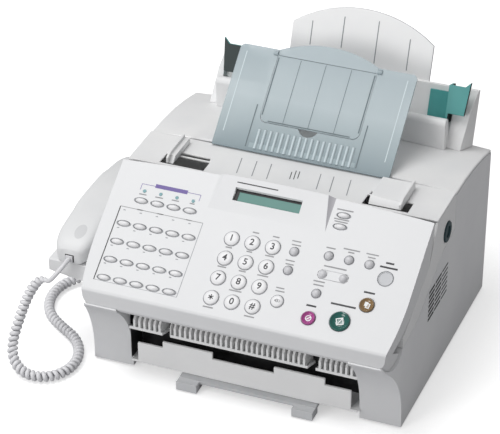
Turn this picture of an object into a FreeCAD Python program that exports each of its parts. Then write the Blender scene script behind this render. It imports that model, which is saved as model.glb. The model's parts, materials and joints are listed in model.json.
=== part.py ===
"""Desktop laser fax machine with a corded handset, as a parametric model in millimetres.

X runs to the right, Y to the back and Z up. While the pieces are drawn, Y = 0 is the front of the legs,
X = 0 the middle of the body and Z = 0 the table. The frame offset at the end puts the origin under the
middle of the whole machine, cord left out.
"""
import FreeCAD, Part
import math
import os

import Sketcher

Vector = FreeCAD.Vector

# Driving dimensions
SIZES = {
    # body and base
    "body_width": 312, "wall": 2.5, "foot_height": 2, "base_depth": 251, "rear_lean": 8,
    "seam_depth": 147, "side_height": 173, "rear_height": 158, "side_bow": 370, "crown": 6,
    "cover_thickness": 3, "cover_stations": 5, "corner_radius": 6, "nose_taper": 6,
    "base_taper_reach": 34, "panel_taper_reach": 60, "leg_width": 41, "opening_depth": 22,
    "casing_gap": 0.4, "sliding_gap": 0.3, "shaft_play": 0.05,
    # hinge of the front cover and of the control panel
    "pivot_depth": -19, "pivot_height": 97, "nose_front": 15, "nose_radius": 16.9, "seat_lip": 1.5,
    "lip_top": 207.5, "lip_end": 229, "seat_end": 345, "pin_radius": 2.5, "pin_length": 17, "ear_inset": 32,
    "ear_thickness": 6, "arm_inset": 23, "knuckle_radius": 7, "ear_low": 312, "ear_high": 336,
    "boss_length": 5, "seat_room": 2, "arm_high": 2, "arm_low": -5, "arm_top": 20,
    # front cover
    "floor_front": 41, "floor_front_height": 97.5, "floor_back": 114, "floor_back_height": 130,
    "floor_seam_height": 133.4, "chute_height": 174.5, "chute_bend": 92, "chute_front": 72,
    "chute_drop": 12.5, "bearing_inner": 121, "bearing_thickness": 4, "bearing_top": 166,
    "bearing_front": 8, "bearing_back": 6, "chute_shift": 15, "sensor_bevel": 4,
    "sensor_front": 52, "sensor_depth": 20, "sensor_height": 136, "sensor_width": 216,
    "button_depth": 122, "button_height": 145, "button_radius": 10.5, "button_proud": 1.5,
    "button_length": 9, "button_bore": 6,
    # control panel
    "panel_slope": 33, "panel_length": 142, "nose_rise": 7.4, "nose_round": 4, "skirt_angle": 24.4,
    "skirt_reach": 97.8, "skirt_end": 330, "shell_end": 250, "panel_bow": 5,
    "console_front": 95, "console_rise": 4, "console_width": 122, "console_top_width": 104,
    "display_left": -37.5, "display_width": 67, "display_front": 118, "display_length": 13,
    "display_sink": 2,
    # keys
    "key_play": 0.35, "key_sides": 12, "small_sides": 8, "roller_sides": 12,
    "key_rise": 2, "key_sink": 4, "key_bevel": 0.8,
    "keypad_left": -25.2, "keypad_front": 18.6, "keypad_pitch": 20.5, "keypad_key": 14.5,
    "start_inset": 56.6, "start_along": 22.9, "start_key": 19.5,
    "stop_inset": 86, "stop_along": 19.5, "stop_key": 13.4,
    "copy_inset": 37, "copy_along": 44, "copy_key": 14,
    "speaker_inset": 119.4, "speaker_along": 29, "speaker_key": 12,
    "forward_inset": 28, "forward_along": 73, "forward_key": 14.5,
    "function_left": 36.8, "function_inset": 86.2, "function_pitch": 19.8, "function_back": 83.4,
    "function_row": 19.4, "function_key": 8.6,
    "rocker_along": 64.5, "rocker_width": 29, "rocker_depth": 8.6,
    "touch_inset": 23.3, "touch_front": 15.2, "touch_pitch": 16.6, "touch_row": 19.1,
    "oval_width": 12.4, "oval_depth": 5.4,
    "mode_inset": 32, "mode_pitch": 16.6, "mode_along": 98.8, "side_oval_across": 71,
    "side_oval_along": 114.1, "side_oval_row": 11.7, "lamp_along": 109.2, "lamp_diameter": 3.6,
    # document tray and flap
    "tray_depth": 148, "tray_lift": 4.8, "tray_slope": 40.8, "tray_width": 181, "tray_length": 100,
    "tray_thickness": 2, "tray_foot": 6, "tray_corner": 5,
    "flap_width": 101.4, "flap_bottom": 25, "flap_pivot": 96,
    "flap_arch": 12, "flap_pin": 1.3, "flap_knuckle": 2.8, "flap_pin_length": 4,
    "notch_half": 10, "notch_radius": 10.8, "flap_corner": 7,
    "ridge_count": 17, "ridge_pitch": 6, "ridge_width": 2, "ridge_low": 3, "ridge_high": 16, "ridge_rise": 1,
    # paper bin, support and guides
    "bin_front": 223, "lip_depth": 11, "lip_height": 195, "bin_half": 119, "ear_front": 131,
    "ear_back_right": 141, "ear_back_left": 121,
    "ear_knee": 246, "ear_knee_height": 200, "ear_back": 264, "ear_top": 219, "bin_back": 243,
    "bin_lean": 20, "bin_wall": 3, "slot_back": 252, "support_across": 16, "support_width": 146,
    "support_low": 42, "support_side": 34, "support_rise": 24, "support_thickness": 2.2,
    "guide_plate": 24, "guide_low": 34, "guide_foot_top": 5, "guide_fence": 3, "guide_reach": 14,
    "guide_wing": 16, "guide_wing_low": 24, "guide_wing_top": 4, "guide_tip": 10,
    "guide_across": 109, "guide_centre": 8,
    # document guides
    "fin_inset": 40, "fin_thickness": 2.5, "fin_front": 96, "fin_length": 42, "fin_height": 9,
    "guide_block_width": 30, "guide_block_height": 6, "guide_travel": 32, "guide_block_left": 5,
    "feed_slot_outer": 9, "feed_slot_inner": 36, "feed_slot_length": 17,
    # paper exit
    "exit_cover_depth": -5, "exit_plate": 3, "exit_cover_low": 11, "exit_inset": 7, "exit_low_step": 34,
    "exit_high_step": 41, "step_left": 82, "step_middle": 31, "comb_low": 43, "comb_high": 66,
    "comb_depth": 14, "comb_back": 4, "comb_tip": -8, "comb_margin": 5.8, "comb_count": 43,
    "comb_tooth": 2.2, "comb_band": 3, "comb_gap_left": 38.5, "comb_gap_right": 45, "comb_gap": 8,
    "stacker_across": 6.5, "stacker_span": 138, "stacker_block": 21, "stacker_front": -20,
    "stacker_low": 1.2, "stacker_height": 9, "stacker_arm": 3.5, "stacker_length": 105,
    "stacker_bar": 8,
    # rollers and inside
    "shaft_radius": 3, "scan_depth": 62, "scan_height": 146, "scan_radius": 7, "scan_length": 214,
    "feed_depth": 90, "feed_height": 156, "feed_radius": 8, "feed_tyre": 40,
    "pickup_depth": 215, "pickup_height": 142, "pickup_radius": 11, "pickup_tyre": 60,
    "out_depth": 32, "out_height": 62, "out_radius": 6, "out_tyre": 12, "out_pitch": 44,
    "laser_front": 66, "laser_depth": 84, "laser_height": 36, "toner_height": 84,
    "inner_half": 108, "unit_foot": 12, "pickup_plate": 8, "out_plate": 7,
    "fuser_front": 34, "fuser_depth": 24, "fuser_height": 48, "board_front": 168, "board_depth": 70,
    "board_width": 180, "board_height": 8, "board_thickness": 1.6, "motor_depth": 172,
    "motor_height": 70, "motor_radius": 18, "motor_length": 22,
    "socket_across": 110, "socket_height": 30, "socket_width": 27, "socket_depth": 16,
    "jack_pitch": 18, "jack_count": 2, "jack_width": 12, "jack_height": 11,
    # handset, cradle and cord
    "cradle_width": 49, "cradle_front": 8, "cradle_length": 182, "cradle_top": 99, "cradle_low": 78,
    "cradle_edge": 86, "handset_width": 40, "handset_side": 5, "handset_front": 6, "handset_length": 178,
    "handset_low": 99.4, "handset_end": 111, "handset_cheek": 118, "handset_shoulder": 126,
    "handset_crest": 134,
    "handset_grip": 111, "handset_cup": 46, "handset_round": 7, "handset_tip_width": 20,
    "handset_cheek_width": 33, "handset_cheek_reach": 6, "handset_shoulder_reach": 26, "handset_slant": 8,
    "lift_switch": 10, "lift_switch_rise": 6,
    "cord_wire": 2.8, "coil_diameter": 11, "curl_count": 8, "cord_tail": 36, "cord_ramp": 26,
    "cord_end_run": 8, "plug_width": 7, "plug_height": 6, "plug_length": 9, "plug_proud": 2,
    "jack_depth": 127, "jack_level": 25, "handset_jack_across": -181, "handset_jack_level": 106,
    # feet and vents
    "foot_radius": 8, "foot_inset": 22, "vent_front": 78, "vent_low": 70, "vent_rise": 32,
    "vent_pitch": 7.5, "vent_count": 8, "vent_slot": 3, "vent_slant": 18,
    # origin, measured from the model at the end
    "frame_x": 0, "frame_y": 0,
}

# Hand-chosen points of the handset cord, from the handset to the jack in the body's left side
CORD_ROUTE = [
    (-181, 3.6, 106), (-181.5, -8, 105), (-187, -15, 98), (-194, -14, 88), (-203, -8, 86),
    (-211, -8, 80), (-218, -14, 66), (-223, -23, 46), (-226, -34, 27), (-221, -47, 14),
    (-206, -57, 7.6), (-188, -57, 6.6), (-173, -46, 6.6), (-166, -28, 6.6), (-169, -6, 6.6),
    (-183, 15, 6.6), (-205, 28, 6.6), (-226, 44, 6.6), (-238, 68, 6.6), (-238, 92, 6.6),
    (-226, 110, 7.4), (-206, 121, 13), (-182, 126, 22), (-167, 127, 25), (-158, 127, 25),
]

doc = FreeCAD.newDocument("fax_machine")
sheet = doc.addObject("Spreadsheet::Sheet", "Sheet")
for row, (name, number) in enumerate(SIZES.items(), start=1):
    sheet.set(f"A{row}", name)
    sheet.set(f"B{row}", str(number))
    sheet.setAlias(f"B{row}", name)
doc.recompute()


class Size:
    """A number that keeps the formula it came from, so that a feature can be bound to the sheet."""

    def __init__(self, value, formula):
        self.value = float(value)
        self.formula = formula

    def __add__(self, other):
        other = as_size(other)
        return Size(self.value + other.value, f"({self.formula} + {other.formula})")

    def __sub__(self, other):
        other = as_size(other)
        return Size(self.value - other.value, f"({self.formula} - {other.formula})")

    def __mul__(self, other):
        other = as_size(other)
        return Size(self.value * other.value, f"({self.formula} * {other.formula})")

    def __truediv__(self, other):
        other = as_size(other)
        return Size(self.value / other.value, f"({self.formula} / {other.formula})")

    def __neg__(self):
        return Size(-self.value, f"(0 - {self.formula})")

    def __radd__(self, other):
        return as_size(other) + self

    def __rsub__(self, other):
        return as_size(other) - self

    def __rmul__(self, other):
        return as_size(other) * self

    def __rtruediv__(self, other):
        return as_size(other) / self


def as_size(number):
    if isinstance(number, Size):
        return number
    return Size(number, f"({float(number)!r})")


class Dimensions:
    """The sheet's cells by name, each as a Size."""

    def __getattr__(self, name):
        return Size(float(sheet.get(name)), f"Sheet.{name}")


def sine(angle):
    return Size(math.sin(math.radians(angle.value)), f"sin({angle.formula})")


def cosine(angle):
    return Size(math.cos(math.radians(angle.value)), f"cos({angle.formula})")


def tangent(angle):
    return Size(math.tan(math.radians(angle.value)), f"tan({angle.formula})")


def root(number):
    return Size(math.sqrt(number.value), f"sqrt({number.formula})")


d = Dimensions()
half = d.body_width / 2
inner = half - d.wall
FAR = 200


def bind(thing, prop, size):
    thing.setExpression(prop, as_size(size).formula)


def place(thing, across=0, depth=0, height=0, tilt=None):
    """Puts a finished sub-part at its place in the machine, shifted to the machine's own origin."""
    turn = FreeCAD.Rotation(Vector(1, 0, 0), as_size(tilt or 0).value)
    thing.Placement = FreeCAD.Placement(Vector(0, 0, 0), turn)
    bind(thing, "Placement.Base.x", d.frame_x + across)
    bind(thing, "Placement.Base.y", d.frame_y + depth)
    bind(thing, "Placement.Base.z", as_size(height))
    if tilt is not None:
        bind(thing, "Placement.Rotation.Angle", tilt)
    return thing


def add_loop(sketch, loop):
    """Draws one closed loop. A vertex is (u, v), or (u, v, radius, side) where an arc leaves it."""
    first = sketch.GeometryCount
    count = len(loop)
    points = [(as_size(vertex[0]), as_size(vertex[1])) for vertex in loop]
    shapes, starts, ends = [], [], []
    for index, vertex in enumerate(loop):
        begin = Vector(points[index][0].value, points[index][1].value, 0)
        finish = Vector(points[(index + 1) % count][0].value, points[(index + 1) % count][1].value, 0)
        starts.append(1)
        ends.append(2)
        if len(vertex) == 2:
            shapes.append(Part.LineSegment(begin, finish))
            continue
        radius, side = as_size(vertex[2]).value, vertex[3]
        chord = finish - begin
        rise = math.sqrt(max(radius ** 2 - chord.Length ** 2 / 4, 0))
        normal = Vector(-chord.y, chord.x, 0).normalize()
        centre = (begin + finish) * 0.5 + normal * (rise * side)
        if side < 0:
            begin, finish = finish, begin
            starts[-1], ends[-1] = 2, 1
        angles = [math.atan2(end.y - centre.y, end.x - centre.x) for end in (begin, finish)]
        if angles[1] < angles[0]:
            angles[1] += 2 * math.pi
        circle = Part.Circle(centre, Vector(0, 0, 1), radius)
        shapes.append(Part.ArcOfCircle(circle, angles[0], angles[1]))
    sketch.addGeometry(shapes, False)
    rules, formulas = [], []
    for index in range(count):
        after = (index + 1) % count
        tail, head = first + index, first + after
        rules.append(Sketcher.Constraint("Coincident", tail, ends[index], head, starts[after]))
        formulas.append(None)
        for kind, size in (("DistanceX", points[index][0]), ("DistanceY", points[index][1])):
            rules.append(Sketcher.Constraint(kind, -1, 1, first + index, starts[index], size.value))
            formulas.append(size)
        if len(loop[index]) > 2:
            radius = as_size(loop[index][2])
            rules.append(Sketcher.Constraint("Radius", first + index, radius.value))
            formulas.append(radius)
    before = sketch.ConstraintCount
    sketch.addConstraint(rules)
    for index, size in enumerate(formulas):
        if size is not None:
            sketch.setExpression(f"Constraints[{before + index}]", size.formula)


def add_circle(sketch, across, up, radius):
    number = sketch.GeometryCount
    across, up, radius = as_size(across), as_size(up), as_size(radius)
    sketch.addGeometry(Part.Circle(Vector(across.value, up.value, 0), Vector(0, 0, 1), radius.value), False)
    before = sketch.ConstraintCount
    sketch.addConstraint([
        Sketcher.Constraint("DistanceX", -1, 1, number, 3, across.value),
        Sketcher.Constraint("DistanceY", -1, 1, number, 3, up.value),
        Sketcher.Constraint("Radius", number, radius.value),
    ])
    for index, size in enumerate((across, up, radius)):
        sketch.setExpression(f"Constraints[{before + index}]", size.formula)


def new_body(label):
    body = doc.addObject("PartDesign::Body", label)
    body.Label = label
    body.AllowCompound = True
    return body


def draw(body, plane, loops, offset=None):
    """A sketch on one of the body's origin planes, moved along the plane's normal by the offset."""
    sketch = body.newObject("Sketcher::SketchObject", "Outline")
    support = [feature for feature in body.Origin.OriginFeatures if feature.Role == plane][0]
    sketch.AttachmentSupport = [(support, "")]
    sketch.MapMode = "FlatFace"
    if offset is not None:
        bind(sketch, "AttachmentOffset.Base.z", offset)
    for loop in loops:
        if loop[0] == "circle":
            add_circle(sketch, *loop[1:])
        else:
            add_loop(sketch, loop)
    return sketch


def feature(body, kind, plane, loops, length, offset=None, both=False, back=False):
    sketch = draw(body, plane, loops, offset)
    made = body.newObject(f"PartDesign::{kind}", kind)
    made.Profile = sketch
    bind(made, "Length", length)
    if both:
        made.SideType = "Symmetric"
    made.Reversed = back
    return made


def pad(body, plane, loops, length, **options):
    return feature(body, "Pad", plane, loops, length, **options)


def pocket(body, plane, loops, length, **options):
    return feature(body, "Pocket", plane, loops, length, **options)


def rectangle(left, low, right, high):
    return [(left, low), (right, low), (right, high), (left, high)]


def polar(radius, angle):
    """A point on a circle around the hinge axis."""
    return d.pivot_depth + radius * cosine(angle), d.pivot_height + radius * sine(angle)


def degrees(number):
    return as_size(number)


def block(across, depth, height, width, length, tall):
    """A plain box used as a tool or as part of a fused piece."""
    made = doc.addObject("Part::Box", "Block")
    for prop, size in (("Length", width), ("Width", length), ("Height", tall)):
        bind(made, prop, size)
    for axis, size in (("x", across), ("y", depth), ("z", height)):
        bind(made, f"Placement.Base.{axis}", size)
    return made


def rod(across, depth, height, radius, length):
    """A cylinder along X that starts at the given place."""
    made = doc.addObject("Part::Cylinder", "Rod")
    bind(made, "Radius", radius)
    bind(made, "Height", length)
    made.Placement = FreeCAD.Placement(Vector(0, 0, 0), FreeCAD.Rotation(Vector(0, 1, 0), 90))
    for axis, size in (("x", across), ("y", depth), ("z", height)):
        bind(made, f"Placement.Base.{axis}", size)
    return made


def drum(across, depth, height, radius, length, sides):
    """A many-sided prism along X, for round pieces that need few faces."""
    made = doc.addObject("Part::Prism", "Drum")
    bind(made, "Polygon", sides)
    bind(made, "Circumradius", radius)
    bind(made, "Height", length)
    made.Placement = FreeCAD.Placement(Vector(0, 0, 0), FreeCAD.Rotation(Vector(0, 1, 0), 90))
    for axis, size in (("x", across), ("y", depth), ("z", height)):
        bind(made, f"Placement.Base.{axis}", size)
    return made


def fused(label, pieces):
    made = doc.addObject("Part::MultiFuse", label)
    made.Label = label
    made.Shapes = pieces
    return made


def group(label, pieces):
    made = doc.addObject("Part::Compound", label)
    made.Label = label
    made.Links = pieces
    return made


def cut(label, base, tool):
    made = doc.addObject("Part::Cut", label)
    made.Label = label
    made.Base = base
    made.Tool = tool
    return made


nodes = {}


def keep(thing, **spot):
    """Registers a finished sub-part under its label and places it."""
    nodes[thing.Label] = place(thing, **spot)
    return thing


# Hinge seat and lip, shared by the base, the front cover and the control panel
seat_radius = d.nose_radius + d.sliding_gap
lip_radius = seat_radius + d.seat_lip
front_edge = d.pivot_depth - d.nose_front
ear_inner = half - d.ear_inset
arm_inner = half - d.arm_inset
opening_width = d.body_width - 2 * d.leg_width
tray_height = d.chute_height + d.tray_lift
function_middle = half - d.function_inset
fin_across = half - d.fin_inset
panel_edge_height = d.pivot_height + d.nose_rise


def base_outline():
    """Side view of the base: floor, leaning back, bowed top edge, stepped seam and hinge seat."""
    lip_end = polar(lip_radius, d.lip_end)
    leg_radius = -lip_end[0] / (1 + cosine(d.lip_end))
    upright = lip_end[1] + leg_radius * sine(d.lip_end)
    seam = d.seam_depth + d.casing_gap / 2
    under = d.cover_thickness + d.casing_gap
    return [
        (0, d.foot_height),
        (d.base_depth, d.foot_height),
        (d.base_depth + d.rear_lean, d.rear_height - under, d.side_bow, 1),
        (seam, d.side_height - under),
        (seam, d.floor_seam_height - d.casing_gap),
        (d.floor_back, d.floor_back_height - d.casing_gap),
        (d.floor_front, d.floor_front_height - d.casing_gap),
        (*polar(seat_radius, d.seat_end), seat_radius, -1),
        (*polar(seat_radius, degrees(270)), seat_radius, -1),
        polar(seat_radius, d.lip_top),
        (*polar(lip_radius, d.lip_top), lip_radius, 1),
        (*lip_end, leg_radius, -1),
        (0, upright),
    ]


def front_corners(front, reach):
    """Two loops, seen from above, that narrow the front by a long curve and round its corners."""
    radius = d.corner_radius
    sweep = (reach * reach + d.nose_taper * d.nose_taper) / (2 * d.nose_taper)
    narrow = half - d.nose_taper
    loops = []
    for side in (1, -1):
        loops.append([
            (side * (narrow - radius), front, radius, side),
            (side * narrow, front + radius, sweep, side),
            (side * half, front + radius + reach),
            (side * (half + FAR), front + radius + reach),
            (side * (half + FAR), front - FAR),
            (side * (narrow - radius), front - FAR),
        ])
    return loops


def bearing_plate(body, centre_depth, centre_height, low, half_depth, radius):
    """A pair of upright plates that carry a roller's shaft in a round hole."""
    top = centre_height + half_depth
    for left in (d.bearing_inner, -d.bearing_inner - d.bearing_thickness):
        loops = [rectangle(centre_depth - half_depth, low, centre_depth + half_depth, top)]
        loops.append(("circle", centre_depth, centre_height, radius))
        pad(body, "YZ_Plane", loops, d.bearing_thickness, offset=left)


def base_housing():
    body = new_body("base_housing")
    pad(body, "YZ_Plane", [base_outline()], d.body_width, both=True)
    floor_top = d.foot_height + d.wall
    cavity = [
        (d.opening_depth, floor_top),
        (d.base_depth - d.wall, floor_top),
        (d.base_depth - d.wall + d.rear_lean, d.rear_height),
        (d.base_depth - d.wall + d.rear_lean, d.side_height + FAR),
        (d.opening_depth, d.side_height + FAR),
    ]
    pocket(body, "YZ_Plane", [cavity], d.body_width - 2 * d.wall, both=True)
    mouth = rectangle(front_edge - FAR, -FAR, d.opening_depth, d.side_height)
    pocket(body, "YZ_Plane", [mouth], opening_width, both=True)
    corners = front_corners(polar(lip_radius, d.lip_top)[0], d.base_taper_reach)
    pocket(body, "XY_Plane", corners, 4 * FAR, both=True)
    for left in (ear_inner, -ear_inner - d.ear_thickness):
        knuckle = ("circle", d.pivot_depth, d.pivot_height, d.knuckle_radius)
        pad(body, "YZ_Plane", [knuckle], d.ear_thickness, offset=left)
        web = [
            (d.pivot_depth, d.pivot_height - d.knuckle_radius / 2),
            polar(seat_radius, d.ear_low), polar(seat_radius + d.wall, d.ear_low),
            polar(seat_radius + d.wall, d.ear_high),
            (d.pivot_depth, d.pivot_height + d.knuckle_radius / 2),
        ]
        pad(body, "YZ_Plane", [web], d.ear_thickness, offset=left)
    bore = d.shaft_radius + d.shaft_play
    bearing_plate(body, d.pickup_depth, d.pickup_height, floor_top, d.pickup_plate, bore)
    bearing_plate(body, d.out_depth, d.out_height, floor_top, d.out_plate, bore)
    slots = []
    for index in range(int(d.vent_count.value)):
        start = d.vent_front + index * d.vent_pitch
        slots.append([
            (start - d.vent_slant, d.vent_low),
            (start - d.vent_slant + d.vent_slot, d.vent_low),
            (start + d.vent_slot, d.vent_low + d.vent_rise),
            (start, d.vent_low + d.vent_rise),
        ])
    pocket(body, "YZ_Plane", slots, 2 * d.wall, offset=half, both=True)
    jack = rectangle(-d.plug_width / 2, -d.plug_height / 2, d.plug_width / 2, d.plug_height / 2)
    hole = [(d.jack_depth + across, d.jack_level + up) for across, up in jack]
    pocket(body, "YZ_Plane", [hole], 2 * d.wall, offset=-half, both=True)
    return keep(body)


def section_sketch(label, depth, edge_height, low):
    """An upright section across the body: crowned top edge, straight sides and a flat bottom."""
    sketch = doc.addObject("Sketcher::SketchObject", label)
    sketch.Placement = FreeCAD.Placement(Vector(0, 0, 0), FreeCAD.Rotation(Vector(1, 0, 0), 90))
    bind(sketch, "Placement.Base.y", depth)
    crown_radius = (half * half + d.crown * d.crown) / (2 * d.crown)
    add_loop(sketch, [
        (half, edge_height, crown_radius, 1),
        (-half, edge_height),
        (-half, low),
        (half, low),
    ])
    return sketch


def crowned_block(label, sink):
    """The space under the top cover's crowned surface, lowered by the given amount."""
    front, back = d.seam_depth + d.casing_gap / 2, d.base_depth + d.rear_lean
    count = int(d.cover_stations.value)
    low = d.rear_height - d.crown * 4
    sections = []
    for index in range(count):
        share = as_size(index) / (d.cover_stations - 1)
        depth = front + (back - front) * share
        chord = d.side_height + (d.rear_height - d.side_height) * share
        bulge = (depth - front) * (back - depth) / (2 * d.side_bow)
        height = chord + bulge - sink
        sections.append(section_sketch(f"{label}_{index}", depth, height, low))
    loft = doc.addObject("Part::Loft", label)
    loft.Sections = sections
    loft.Solid = True
    loft.Ruled = True
    return loft


def top_cover(crowned):
    """The crowned lid behind the seam, with the slot that paper feeds through."""
    under = crowned_block("cover_underside", d.cover_thickness)
    shell = cut("cover_shell", crowned, under)
    slot_front = d.bin_front + d.lip_depth
    slot = block(
        -d.bin_half, slot_front, d.rear_height - FAR,
        2 * d.bin_half, d.slot_back - slot_front, 2 * FAR,
    )
    return keep(cut("top_cover", shell, slot))


def paper_bin(crowned):
    """Rounded front lip, two raked ears and the leaning back wall of the paper bin."""
    body = new_body("bin_walls")
    low = d.rear_height - d.crown
    lip_back = d.bin_front + d.lip_depth
    lip = [
        (d.bin_front, low), (lip_back, low),
        (lip_back, d.lip_height, d.lip_depth / 2 + 0.01, 1), (d.bin_front, d.lip_height),
    ]
    pad(body, "YZ_Plane", [lip], 2 * d.bin_half, both=True)
    ear = [
        (d.bin_front, low), (d.slot_back, low),
        (d.ear_back, d.ear_top), (d.ear_back - d.bin_wall, d.ear_top), (d.ear_knee, d.ear_knee_height),
    ]
    for back, side in ((d.ear_back_right, 1), (d.ear_back_left, -1)):
        width = back - d.bin_half if back.value > d.ear_front.value else d.ear_front - d.bin_half
        left = d.bin_half if side > 0 else -d.bin_half - width
        pad(body, "YZ_Plane", [ear], width, offset=left)
    foot, top = bin_wall_depth(low), bin_wall_depth(d.ear_top)
    wall = [(foot, low), (foot + d.bin_wall, low), (top + d.bin_wall, d.ear_top), (top, d.ear_top)]
    pad(body, "YZ_Plane", [wall], 2 * d.bin_half + d.wall, both=True)
    trims = []
    for back, side in ((d.ear_back_right, 1), (d.ear_back_left, -1)):
        trims.append([
            (side * d.ear_front, d.bin_front), (side * back, d.ear_back),
            (side * back, d.ear_back + FAR), (side * (d.ear_front + FAR), d.ear_back + FAR),
            (side * (d.ear_front + FAR), d.bin_front),
        ])
    pocket(body, "XY_Plane", trims, 4 * FAR, both=True)
    return keep(cut("paper_bin", body, crowned))


def bin_wall_depth(height):
    """Depth of the back wall's front face at a height."""
    return d.bin_back + (height - d.side_height) * tangent(d.bin_lean)


def paper_support():
    """Arched plate that slides up behind the bin's back wall."""
    body = new_body("paper_support")
    left, right = -d.support_width / 2, d.support_width / 2
    bow = (d.support_width * d.support_width / 4 + d.support_rise * d.support_rise) / (2 * d.support_rise)
    outline = [
        (left, -d.support_low), (right, -d.support_low),
        (right, d.support_side, bow, 1), (left, d.support_side),
    ]
    pad(body, "XY_Plane", [outline], d.support_thickness, back=True)
    behind = (d.bin_wall + d.sliding_gap / cosine(d.bin_lean))
    depth = bin_wall_depth(d.ear_top) + behind
    return keep(body, across=d.support_across, depth=depth, height=d.ear_top, tilt=90 - d.bin_lean)


def paper_guide(label, side):
    """Fence that squares the paper: a flat foot on the back wall, a fence and a flared wing."""
    body = new_body(label)
    inside, outside = side * (d.guide_across - d.guide_fence), side * d.guide_across
    foot = rectangle(side * (d.guide_across - d.guide_plate), -d.guide_low, outside, -d.guide_foot_top)
    pad(body, "XY_Plane", [foot], d.bin_wall, offset=d.sliding_gap)
    fence = rectangle(inside, -d.guide_low, outside, d.guide_wing_top)
    pad(body, "XY_Plane", [fence], d.guide_reach, offset=d.sliding_gap)
    edge = side * (d.guide_across + d.guide_wing)
    wing = [
        (inside, -d.guide_wing_low), (edge, -d.guide_wing_low), (edge + side * d.guide_fence, d.guide_tip),
        (edge - side * d.guide_fence, d.guide_wing_top), (inside, d.guide_wing_top),
    ]
    pad(body, "XY_Plane", [wing], d.bin_wall, offset=d.sliding_gap + d.guide_reach - d.bin_wall)
    wall = bin_wall_depth(d.ear_top)
    return keep(body, across=d.guide_centre, depth=wall, height=d.ear_top, tilt=90 - d.bin_lean)


def document_tray(crowned):
    """Smoke tray on the top cover: a window for the flap, a thumb notch below it and corrugations."""
    body = new_body("tray_plate")
    edge = d.tray_width / 2
    mouth = d.flap_width / 2 + d.sliding_gap
    sill = d.flap_bottom - d.sliding_gap
    outline = [
        (-edge, -d.tray_foot), (edge, -d.tray_foot), (edge, d.tray_length - d.tray_corner, d.tray_corner, 1),
        (edge - d.tray_corner, d.tray_length), (mouth, d.tray_length),
        (mouth, sill + d.flap_corner, d.flap_corner, -1), (mouth - d.flap_corner, sill),
        (d.notch_half, sill, d.notch_radius, -1), (-d.notch_half, sill),
        (d.flap_corner - mouth, sill, d.flap_corner, -1), (-mouth, sill + d.flap_corner),
        (-mouth, d.tray_length), (d.tray_corner - edge, d.tray_length, d.tray_corner, 1),
        (-edge, d.tray_length - d.tray_corner),
    ]
    pad(body, "XY_Plane", [outline], d.tray_thickness)
    axis_height = d.tray_thickness / 2
    for left in (mouth, -mouth - d.flap_pin_length - d.sliding_gap):
        knuckle = ("circle", d.flap_pivot, axis_height, d.flap_knuckle)
        pad(body, "YZ_Plane", [knuckle], d.flap_pin_length + d.sliding_gap, offset=left)
    hole = ("circle", d.flap_pivot, axis_height, d.flap_pin + d.shaft_play)
    reach = 2 * (mouth + d.flap_pin_length + d.sliding_gap)
    pocket(body, "YZ_Plane", [hole], reach, both=True)
    first = -d.ridge_pitch * (d.ridge_count - 1) / 2
    starts = [first + index * d.ridge_pitch for index in range(int(d.ridge_count.value))]
    ridges = [rectangle(left, d.ridge_low, left + d.ridge_width, d.ridge_high) for left in starts]
    pad(body, "XY_Plane", ridges, d.ridge_rise, offset=d.tray_thickness)
    place(body, depth=d.tray_depth - d.frame_y, height=tray_height, across=-d.frame_x, tilt=d.tray_slope)
    return keep(cut("document_tray", body, crowned))


def tray_flap():
    """Flap in the tray's window: arched top, rounded lower corners and two hinge pins."""
    body = new_body("tray_flap")
    edge = d.flap_width / 2
    shoulder = d.tray_length
    bow = (edge * edge + d.flap_arch * d.flap_arch) / (2 * d.flap_arch)
    low, corner = d.flap_bottom + d.sliding_gap, d.flap_corner
    outline = [
        (corner - edge, low), (edge - corner, low, corner, 1), (edge, low + corner),
        (edge, shoulder, bow, 1), (-edge, shoulder), (-edge, low + corner, corner, 1),
    ]
    pad(body, "XY_Plane", [outline], d.tray_thickness)
    for left in (edge - d.wall, -edge - d.flap_pin_length):
        pin = ("circle", d.flap_pivot, d.tray_thickness / 2, d.flap_pin)
        pad(body, "YZ_Plane", [pin], d.flap_pin_length + d.wall, offset=left)
    return keep(body, depth=d.tray_depth, height=tray_height, tilt=d.tray_slope)


def exit_cover():
    """Stepped plate under the paper exit, with a shelf between the legs."""
    body = new_body("exit_cover")
    edge = opening_width / 2 - d.exit_inset
    low, step, high = d.exit_cover_low, d.exit_low_step, d.exit_high_step
    outline = [
        (-edge, low), (edge, low), (edge, step), (d.step_left, step), (d.step_left, high),
        (d.step_middle, high), (d.step_middle, step), (-d.step_middle, step), (-d.step_middle, high),
        (-d.step_left, high), (-d.step_left, step), (-edge, step),
    ]
    pad(body, "XZ_Plane", [outline], d.exit_plate, offset=-d.exit_cover_depth, back=True)
    shelf = rectangle(d.exit_cover_depth, low, d.opening_depth + d.wall, low + d.wall)
    pad(body, "YZ_Plane", [shelf], opening_width, both=True)
    return keep(body)


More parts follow.
